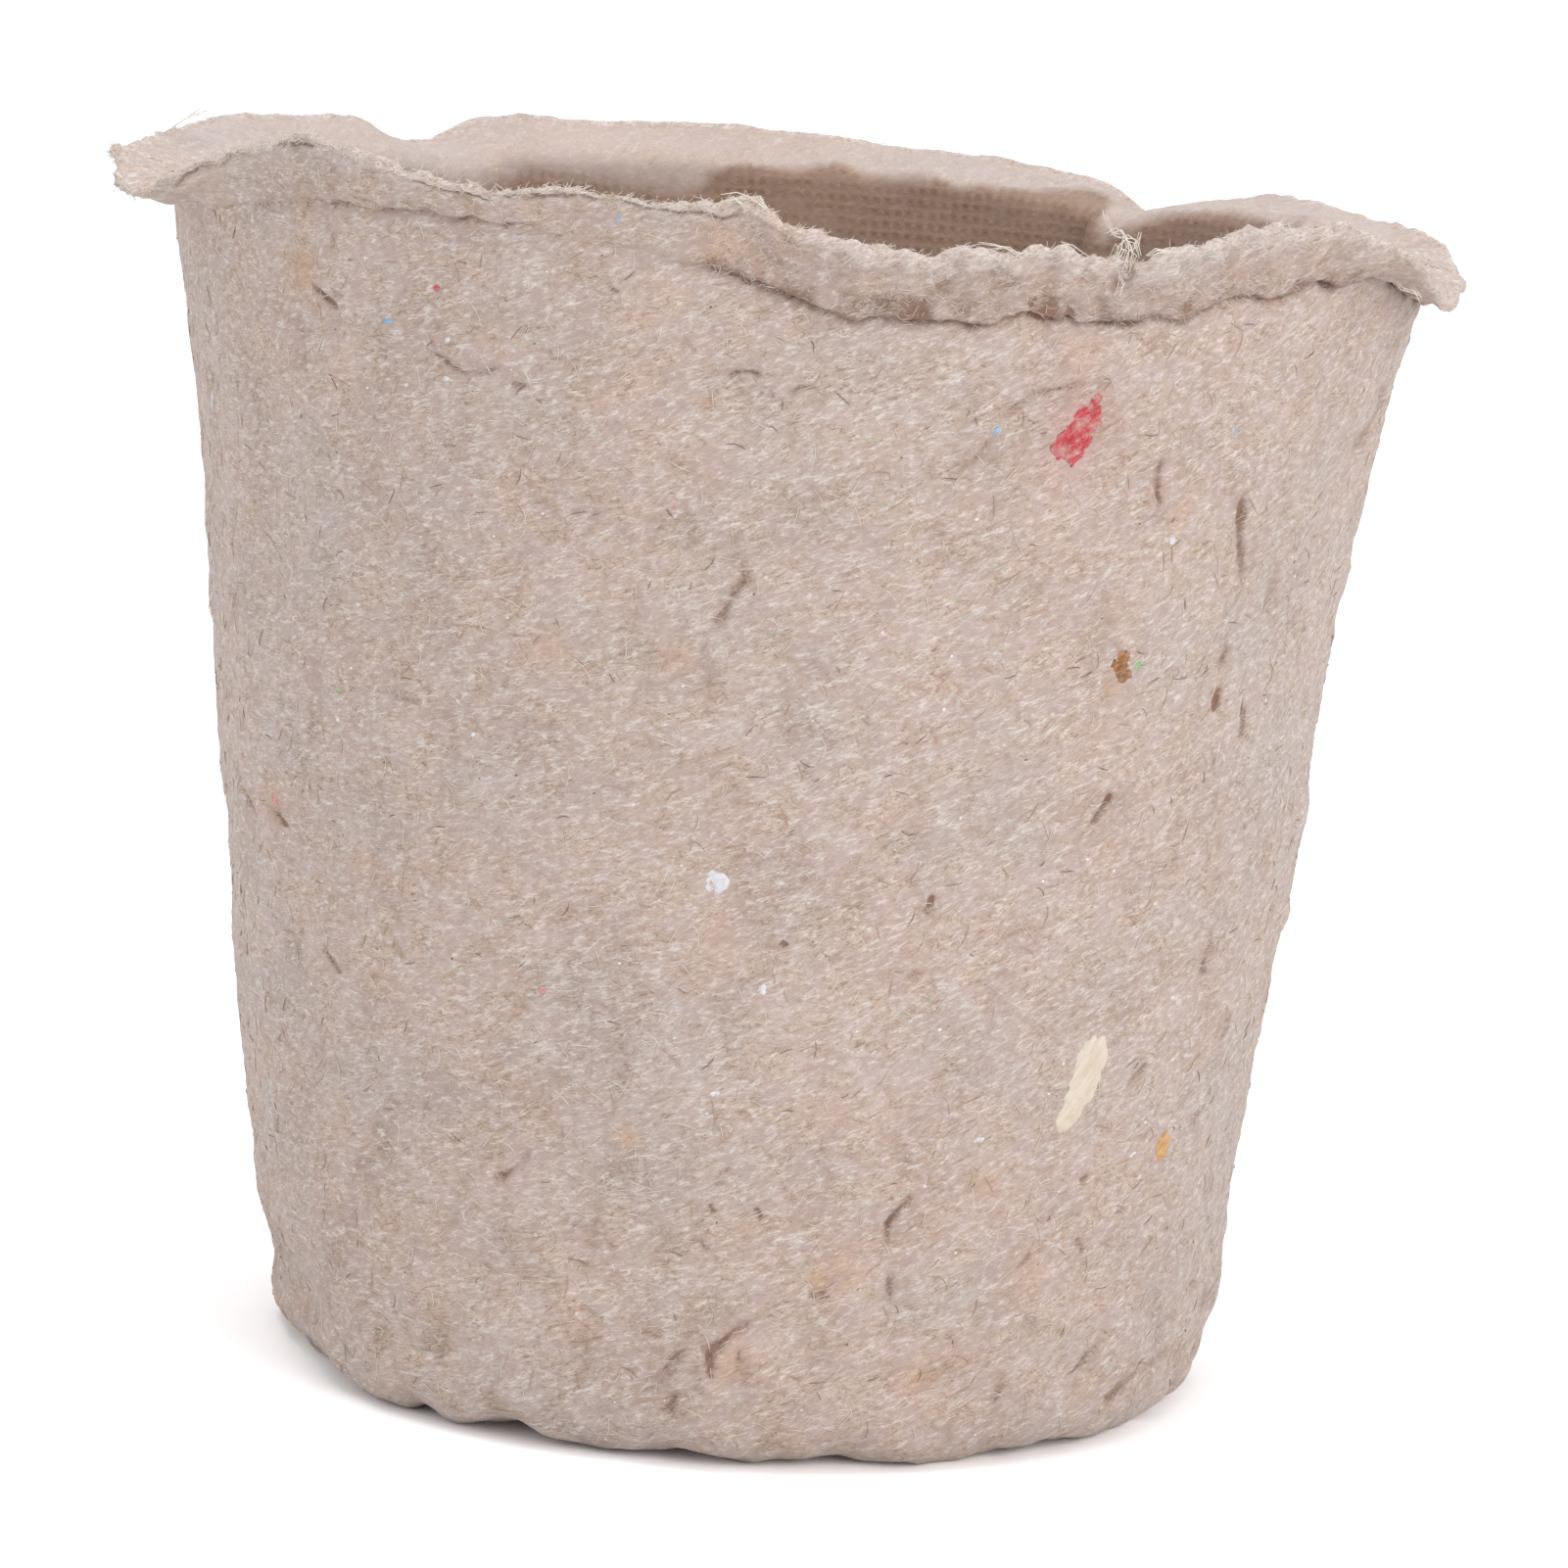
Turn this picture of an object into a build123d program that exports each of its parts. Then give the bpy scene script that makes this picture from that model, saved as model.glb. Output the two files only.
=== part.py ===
# A small round plant pot, pressed in one piece from wet pulp and dried.
# It stands on z = 0 with its axis on Z, and its front faces -Y. Lengths are millimetres.
# Turns are degrees round the axis, anticlockwise from +X as seen from above.
import os
from math import atan2, cos, degrees, radians, sin

from build123d import *

os.makedirs("parts", exist_ok=True)

# The cup
base_radius = 30.2        # outer wall, carried down to the resting plane
mouth_radius = 39.4       # outer wall, at the mean height of the crease under the lip
mouth_height = 74.0       # mean height of that crease
corner_radius = 5.0       # outside, between the bottom and the wall
wall = 1.8
floor = 2.0

# The lip
lip_length = 4.6          # from the crease to the free edge
lip_thickness = 1.7
lip_wave = 3.0            # how far the crease strays above and below its mean height
mouth_flare = 1.6         # how far the mouth stands out where it is pulled widest

# The scraps of paper, bark, wood and husk that lie flush in the face of the wall
scrap_depth = 0.3
cut_overrun = 1.0         # how far the blocks that cut the scraps run out past the wall
red_scrap_length = 4.4
red_scrap_width = 3.0
wood_chip_length = 6.0
wood_chip_width = 2.6
bark_flake_length = 2.0
bark_flake_width = 1.6
husk_length = 1.9
husk_width = 1.2
white_fleck_length = 1.3
blue_fleck_length = 0.7
green_fleck_length = 0.8
pink_fleck_length = 0.9

# Each scrap's turn about the axis and its lean, in degrees, and its height as a share
# of the mouth's. A scrap leans to the left of upright when its lean is above zero.
red_scrap_place_shares = (297.2, -12, 0.888)
wood_chip_place_shares = (308.8, -22, 0.332)
bark_flake_place_shares = (305.8, 0, 0.693)
husk_place_shares = (323.9, -8, 0.265)

# The rim. Each row gives its turn about the axis in degrees, then the crease's rise
# as a share of the wave, the lip's lift as a share of a right angle, its length as
# a share of the full length, and its part of the mouth's flare.
rim_shares = (
    (0, -0.80, -0.15, 0.35, 0.85),
    (15, -0.75, 0.02, 0.65, 0.75),
    (30, -0.55, 0.10, 0.85, 0.50),
    (44, -0.58, 0.08, 0.95, 0.20),
    (55, -1.00, 0.00, 0.95, 0.00),
    (66, -0.75, 0.28, 0.95, 0.00),
    (77, -0.58, 0.32, 1.00, 0.00),
    (90, -0.50, 0.33, 1.00, 0.00),
    (103, -0.40, 0.34, 1.00, 0.00),
    (117, -0.35, 0.42, 0.95, 0.00),
    (127, -0.70, 0.25, 0.95, 0.00),
    (138, -0.35, 0.32, 1.00, 0.00),
    (152, -0.05, 0.28, 1.00, 0.00),
    (166, -0.10, 0.28, 1.05, 0.00),
    (180, -0.15, 0.24, 1.05, 0.00),
    (195, 0.00, 0.06, 0.98, 0.00),
    (210, 0.30, 0.42, 0.80, 0.00),
    (225, 0.72, 0.75, 0.90, 0.00),
    (240, 0.90, 0.62, 0.62, 0.00),
    (255, 0.72, 0.60, 0.68, 0.00),
    (270, 0.05, 0.60, 0.98, 0.00),
    (285, -0.30, 0.64, 1.02, 0.20),
    (300, -0.38, 0.65, 0.98, 0.30),
    (315, 0.00, 0.64, 1.02, 0.45),
    (330, 0.25, 0.42, 0.85, 0.70),
    (345, -0.30, 0.00, 0.50, 0.85),
)

# Rings up the wall. Each row gives a height as a share of the way from the corner
# to the crease, and the part of the mouth's flare that the wall has there.
wall_shares = ((0.00, 0.00), (0.88, 0.00), (0.92, 0.12), (0.96, 0.45))

# Rings round a corner, as shares of its turn
corner_shares = (0.00, 0.20, 0.40, 0.60, 0.80)

# Rings round the lip. Each row gives a share of its length and a share of its thickness.
lip_shares = (
    (0.20, 0.00),
    (0.50, 0.00),
    (0.84, 0.00),
    (0.95, 0.14),
    (1.00, 0.50),
    (0.95, 0.86),
    (0.84, 1.00),
    (0.50, 1.00),
    (0.20, 1.00),
)

# Rings round the bend inside the mouth, as shares of the way from the lip's lean to the wall's
throat_shares = (0.20, 0.50, 0.80)

# The outline of the torn red scrap, in shares of half its width and half its length
red_outline_shares = (
    (0.55, 1.00),
    (0.95, 0.50),
    (0.85, 0.00),
    (0.60, -0.38),
    (0.10, -0.58),
    (-0.45, -1.00),
    (-0.92, -0.45),
    (-0.80, 0.15),
    (-0.05, 0.40),
    (0.05, 0.85),
)

# The outline of the bark flake, in the same way
bark_outline_shares = (
    (-0.30, 1.00),
    (0.75, 0.80),
    (1.00, -0.10),
    (0.25, -1.00),
    (-0.70, -0.75),
    (-1.00, 0.20),
)

# The flecks. Each row gives a turn in degrees, a height as a share of the mouth's,
# a length as a share of the longest fleck's, and a breadth as a share of its own length.
white_fleck_shares = (
    (266.3, 0.508, 1.00, 0.80),
    (271.6, 0.422, 0.60, 0.75),
    (267.2, 0.329, 0.60, 0.95),
    (309.5, 0.800, 0.60, 0.70),
    (216.5, 0.675, 0.60, 0.60),
    (226.8, 0.702, 0.50, 0.80),
    (234.0, 0.893, 0.50, 0.85),
    (318.6, 0.264, 0.50, 0.70),
)
blue_fleck_shares = (
    (289.3, 0.894, 1.00, 0.90),
    (315.5, 0.889, 0.80, 0.80),
    (232.0, 0.930, 0.80, 0.60),
)
green_fleck_shares = ((307.7, 0.697, 0.85, 0.60), (223.4, 0.624, 1.00, 0.80))
pink_fleck_shares = ((248.6, 0.401, 1.00, 0.70), (237.7, 0.930, 0.60, 0.90), (341.0, 0.559, 0.80, 0.70))

right_angle = 90
full_turn = 360
taper = degrees(atan2(mouth_radius - base_radius, mouth_height))
corner_turn = right_angle - taper
inner_corner_radius = corner_radius - wall


def around(turn, radius, height):
    # the point at a turn about the axis, a radius and a height
    return (radius * cos(radians(turn)), radius * sin(radians(turn)), height)


def wall_radius(height):
    # the outer wall is a plain cone
    return base_radius + (mouth_radius - base_radius) * height / mouth_height


def ring(place):
    # one smooth closed curve round the pot, with a point for each row of the rim,
    # spaced by its turn so that the points of all rings line up
    turns = [row[0] for row in rim_shares] + [full_turn]
    with BuildLine() as line:
        add(Edge.make_spline([place(row) for row in rim_shares], periodic=True, parameters=turns))
    return line.wire()


def corner_ring(share, radius, bottom, inset):
    # a ring on the rounded corner between a bottom and the wall
    angle = radians(corner_turn * share)
    height = bottom + radius * (1 - cos(angle))
    middle = wall_radius(bottom + radius) - (radius + inset) / cos(radians(taper))
    return ring(lambda row: around(row[0], middle + radius * sin(angle), height))


def wall_ring(share, flare, radius, bottom, inset):
    # a ring on the wall, at a share of the way from the corner to the crease
    foot = bottom + radius * (1 - cos(radians(corner_turn)))

    def place(row):
        height = foot + share * (mouth_height + row[1] * lip_wave - foot)
        return around(row[0], wall_radius(height) + flare * row[4] * mouth_flare - inset, height)

    return ring(place)


def crease(row):
    # the radius and height at which the lip leaves the wall
    height = mouth_height + row[1] * lip_wave
    return wall_radius(height) + row[4] * mouth_flare, height


def lip_ring(along, above):
    # a ring on the lip, at a share of its length and a share of its thickness
    def place(row):
        radius, height = crease(row)
        lift = radians(right_angle * row[2])
        reach = lip_length * row[3] * along
        rise = lip_thickness * above
        out = radius + reach * cos(lift) - rise * sin(lift)
        return around(row[0], out, height + reach * sin(lift) + rise * cos(lift))

    return ring(place)


def throat_ring(share):
    # a ring on the bend inside the mouth, which leans between the lip and the wall
    def place(row):
        radius, height = crease(row)
        lift = right_angle * row[2]
        lean = radians(lift + share * (corner_turn - lift))
        depth = lip_thickness + share * (wall - lip_thickness)
        return around(row[0], radius - depth * sin(lean), height + depth * cos(lean))

    return ring(place)


# One skin runs out under the bottom, up the outer wall, round the lip,
# down the inner wall and in over the floor.
rings = [corner_ring(share, corner_radius, 0, 0) for share in corner_shares]
rings += [wall_ring(share, flare, corner_radius, 0, 0) for share, flare in wall_shares]
rings.append(ring(lambda row: around(row[0], *crease(row))))
rings += [lip_ring(along, above) for along, above in lip_shares]
rings += [throat_ring(share) for share in throat_shares]
rings += [wall_ring(share, flare, inner_corner_radius, floor, wall) for share, flare in reversed(wall_shares)]
rings += [corner_ring(share, inner_corner_radius, floor, wall) for share in reversed(corner_shares)]
pulp = Solid.make_loft(rings, ruled=True)


def scrap_plane(turn, lean, height_share):
    # a plane one scrap's depth inside the wall, facing straight out, with its Y axis up the wall
    height = height_share * mouth_height
    outward = around(turn, cos(radians(taper)), -sin(radians(taper)))
    level = around(turn + right_angle, 1, 0)
    upright = Plane(origin=around(turn, wall_radius(height), height), x_dir=level, z_dir=outward)
    return Plane(upright.location * Location((0, 0, -scrap_depth), (0, 0, lean)))


def outline(shares, width, length):
    # the points of a torn edge, from shares of half the width and half the length
    return [(x * width / 2, y * length / 2) for x, y in shares]


# A block for each scrap reaches from the scrap's back out through the face of the wall
block_height = scrap_depth + cut_overrun

with BuildPart() as red_block:
    with BuildSketch(scrap_plane(*red_scrap_place_shares)):
        with BuildLine():
            Polyline(*outline(red_outline_shares, red_scrap_width, red_scrap_length), close=True)
        make_face()
    extrude(amount=block_height)

with BuildPart() as bark_block:
    with BuildSketch(scrap_plane(*bark_flake_place_shares)):
        with BuildLine():
            Polyline(*outline(bark_outline_shares, bark_flake_width, bark_flake_length), close=True)
        make_face()
    extrude(amount=block_height)

# The chip's outline is two arcs that meet in a point at each end
with BuildPart() as chip_block:
    with BuildSketch(scrap_plane(*wood_chip_place_shares)):
        with BuildLine():
            ThreePointArc((0, wood_chip_length / 2), (wood_chip_width / 2, 0), (0, -wood_chip_length / 2))
            ThreePointArc((0, -wood_chip_length / 2), (-wood_chip_width / 2, 0), (0, wood_chip_length / 2))
        make_face()
    extrude(amount=block_height)

with BuildPart() as husk_block:
    with BuildSketch(scrap_plane(*husk_place_shares)):
        Ellipse(husk_width / 2, husk_length / 2)
    extrude(amount=block_height)


def fleck_blocks(rows, longest):
    # blocks for a group of oval flecks, each with its long side level on the wall
    with BuildPart() as group:
        for turn, height_share, length, breadth in rows:
            with BuildSketch(scrap_plane(turn, 0, height_share)):
                Ellipse(longest * length / 2, longest * length * breadth / 2)
            extrude(amount=block_height)
    return group


blocks = {
    "red_paper_scrap": red_block,
    "brown_bark_flake": bark_block,
    "cream_wood_chip": chip_block,
    "amber_seed_husk": husk_block,
    "white_paper_flecks": fleck_blocks(white_fleck_shares, white_fleck_length),
    "blue_paper_flecks": fleck_blocks(blue_fleck_shares, blue_fleck_length),
    "green_paper_flecks": fleck_blocks(green_fleck_shares, green_fleck_length),
    "pink_paper_flecks": fleck_blocks(pink_fleck_shares, pink_fleck_length),
}

# A scrap takes the place of the pulp that its block cuts out of the wall
for name, block in blocks.items():
    with BuildPart() as scrap:
        add(block)
        add(pulp, mode=Mode.INTERSECT)
    scrap.part.label = name
    export_step(scrap.part, "parts/" + name + ".step")

with BuildPart() as pot_shell:
    add(pulp)
    add([block.part for block in blocks.values()], mode=Mode.SUBTRACT)
pot_shell.part.label = "pot_shell"
export_step(pot_shell.part, "parts/pot_shell.step")
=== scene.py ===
import math
import random

import bmesh
import bpy
import numpy as np
from mathutils import Matrix, Vector, noise
from mathutils.bvhtree import BVHTree


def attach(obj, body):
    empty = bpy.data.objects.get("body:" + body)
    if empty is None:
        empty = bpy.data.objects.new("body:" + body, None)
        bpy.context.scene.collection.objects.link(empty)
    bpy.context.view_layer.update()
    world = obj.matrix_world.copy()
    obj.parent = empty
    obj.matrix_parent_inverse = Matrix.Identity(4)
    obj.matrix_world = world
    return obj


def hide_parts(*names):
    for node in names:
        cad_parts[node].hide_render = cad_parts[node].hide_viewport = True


# A round plant pot of moulded peat and paper pulp with a torn, wavy lip.
# The front faces -Y. Turns are degrees round Z, anticlockwise from +X, as seen from above.
# Sizes are in millimetres and are turned into metres where a mesh is made.
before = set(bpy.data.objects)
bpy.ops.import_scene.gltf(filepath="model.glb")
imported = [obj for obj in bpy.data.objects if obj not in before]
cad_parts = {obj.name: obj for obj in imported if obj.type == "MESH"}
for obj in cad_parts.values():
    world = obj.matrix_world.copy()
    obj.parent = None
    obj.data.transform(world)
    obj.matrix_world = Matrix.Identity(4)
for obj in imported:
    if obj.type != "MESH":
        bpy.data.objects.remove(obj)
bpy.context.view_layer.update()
mm = 0.001
print("frame loaded")


# Camera
camera = {
    "distance": 500.0,          # from the point it aims at
    "aimHeight": 40.0,
    "elevation": 10.0,          # degrees above the horizon
    "roll": 3.45,               # the pot leans clockwise in the picture
    "focalPixels": 7930.0,
    "aimPixel": (779.0, 762.0),  # where the point it aims at shows in the picture
    "pictureSide": 1601,
    "sensor": 36.0,
    "clip": (10.0, 100000.0),   # mm
}


def cameraAxes():
    # the camera's place and its right, up and forward directions, before it is rolled
    rise = math.radians(camera["elevation"])
    reach = camera["distance"]
    place = Vector((0, -reach * math.cos(rise), camera["aimHeight"] + reach * math.sin(rise)))
    forward = Vector((0, math.cos(rise), -math.sin(rise)))
    right = Vector((1, 0, 0))
    return place, right, right.cross(forward), forward


def addCamera():
    place, right, up, forward = cameraAxes()
    roll = math.radians(camera["roll"])
    rolledRight = right * math.cos(roll) + up * math.sin(roll)
    rolledUp = up * math.cos(roll) - right * math.sin(roll)
    data = bpy.data.cameras.new("camera")
    data.sensor_width = camera["sensor"]
    data.lens = camera["focalPixels"] * camera["sensor"] / camera["pictureSide"]
    middle = camera["pictureSide"] / 2
    data.shift_x = (middle - camera["aimPixel"][0]) / camera["pictureSide"]
    data.shift_y = (camera["aimPixel"][1] - middle) / camera["pictureSide"]
    data.clip_start, data.clip_end = (reach * mm for reach in camera["clip"])
    thing = bpy.data.objects.new("camera", data)
    turned = Matrix((rolledRight, rolledUp, -forward)).transposed().to_4x4()
    thing.matrix_world = Matrix.Translation(place * mm) @ turned
    bpy.context.collection.objects.link(thing)
    bpy.context.scene.camera = thing


def pixelRay(pixel):
    # the line of sight through a pixel of the picture
    place, right, up, forward = cameraAxes()
    roll = math.radians(camera["roll"])
    x = pixel[0] - camera["aimPixel"][0]
    y = pixel[1] - camera["aimPixel"][1]
    across = x * math.cos(roll) + y * math.sin(roll)
    along = x * math.sin(roll) - y * math.cos(roll)
    return place, (forward * camera["focalPixels"] + right * across + up * along).normalized()


# The pot, with the same driving sizes as its solid
pot = {
    "footRadius": 30.2,     # outer wall, carried down to the floor
    "mouthRadius": 39.4,    # outer wall, at the mean height of the crease under the lip
    "mouthHeight": 74.0,
    "footRound": 3.2,
    "wall": 1.8,
    "floor": 2.0,
    "lipThickness": 1.7,
    "edgeShare": 0.92,      # the lip's edge starts to round at this share of its length
    "edgeThinShare": 0.42,  # how thick the lip is at its edge, as a share of its thickness
    "flareShare": 0.86,     # the wall starts to flare at this share of its height
    "flareCurve": 1.8,
}
taper = math.atan2(pot["mouthRadius"] - pot["footRadius"], pot["mouthHeight"])
cornerTurn = math.pi / 2 - taper

# The rim, all the way round. Each row has its turn, the height of the crease under the lip,
# the lip's lift above level in degrees, its length, and how far the mouth is pulled out.
rim = [
    (0, 72.1, -2, 2.5, 1.20),
    (15, 72.0, 32, 3.4, 1.10),
    (30, 72.3, 17, 3.9, 0.80),
    (37, 72.4, 26, 4.2, 0.50),
    (44, 72.3, 21, 4.4, 0.30),
    (50, 71.7, 16, 4.4, 0.10),
    (55, 71.0, 7, 4.4, 0),
    (60, 71.6, 24, 4.4, 0),
    (66, 71.8, 33, 4.4, 0),
    (77, 72.3, 26, 4.6, 0),
    (84, 72.4, 34, 4.6, 0),
    (90, 72.5, 37, 4.6, 0),
    (103, 72.8, 34, 4.6, 0),
    (112, 72.9, 33, 4.4, 0),
    (117, 73.0, 42, 4.4, 0),
    (122, 72.8, 38, 4.4, 0),
    (127, 71.9, 24, 4.4, 0),
    (131, 72.3, 24, 4.4, 0),
    (135, 72.8, 38, 4.6, 0),
    (142, 73.3, 34, 4.6, 0),
    (152, 73.8, 33, 4.6, 0),
    (163, 73.7, 26, 4.8, 0),
    (175, 73.6, 24, 4.8, 0),
    (183, 73.7, 27, 4.8, 0),
    (190, 74.0, 28, 4.6, 0),
    (197, 74.2, 8, 4.6, 0),
    (203, 74.4, 4, 4.5, 0),
    (208, 74.7, 22, 4.0, 0),
    (212, 75.1, 44, 3.8, 0),
    (218, 75.9, 62, 4.0, 0),
    (225, 76.3, 66, 4.1, 0),
    (232, 76.6, 60, 3.4, 0),
    (238, 76.7, 52, 2.5, 0),
    (244, 76.7, 50, 2.3, 0),
    (250, 76.5, 60, 3.5, 0),
    (256, 75.8, 60, 3.5, 0),
    (262, 75.2, 62, 4.0, 0),
    (267, 74.5, 62, 4.6, 0),
    (271, 73.8, 55, 4.7, 0),
    (276, 73.0, 51, 4.9, 0.10),
    (280, 73.0, 49, 4.7, 0.20),
    (285, 73.0, 49, 5.3, 0.30),
    (291, 73.4, 52, 4.5, 0.35),
    (295, 73.0, 56, 4.6, 0.45),
    (301, 72.8, 58, 4.5, 0.50),
    (309, 73.5, 68, 4.7, 0.60),
    (314, 74.1, 68, 4.7, 0.70),
    (320, 74.6, 58, 4.5, 0.90),
    (326, 75.1, 25, 4.2, 1.00),
    (331, 75.4, -8, 3.7, 1.15),
    (338, 74.1, -29, 3.2, 1.30),
    (347, 72.3, 10, 2.4, 1.35),
    (354, 72.4, 6, 2.3, 1.30),
]

# The skin is a grid that is wrapped round the pot. It runs from the middle of the bottom
# out round the foot, up the wall, round the lip, down inside and in over the floor.
# Each stretch has its length in mm and the rows of faces across it.
stretches = {
    "bottom": {"length": 25.5, "rows": 8},
    "foot": {"length": 7.1, "rows": 7},
    "wall": {"length": 70.0, "rows": 64},
    "under": {"length": 4.6, "rows": 5},
    "edge": {"length": 2.7, "rows": 4},
    "top": {"length": 4.6, "rows": 5},
    "throat": {"length": 2.2, "rows": 2},
    "inner": {"length": 68.0, "rows": 26},
    "innerFoot": {"length": 4.5, "rows": 3},
    "floor": {"length": 25.5, "rows": 6},
}
skin = {
    "columns": 200,
    "seamTurn": 90.0,         # at the back
    "fineTurns": (176, 358),  # the picture shows this side, so its wall has faces half as wide
    "creaseReach": 0.95,      # faces this near a crease are halved once more,
    "crackReach": 0.42,       # and these are halved again,
    "creaseTone": 0.35,       # where the crease is darker than this,
    "crackTone": 0.5,         # and than this
    "ledgeTone": 0.45,        # the joint under the lip is halved where it is darker than this
    "lipReach": 3,            # the lip and this much of the wall under it are fine all round
    "insideTurns": (15, 165),  # the picture shows this part of the inside,
    "insideDepths": (-2.5, 14),
    "weld": 1e-4,
}

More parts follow.
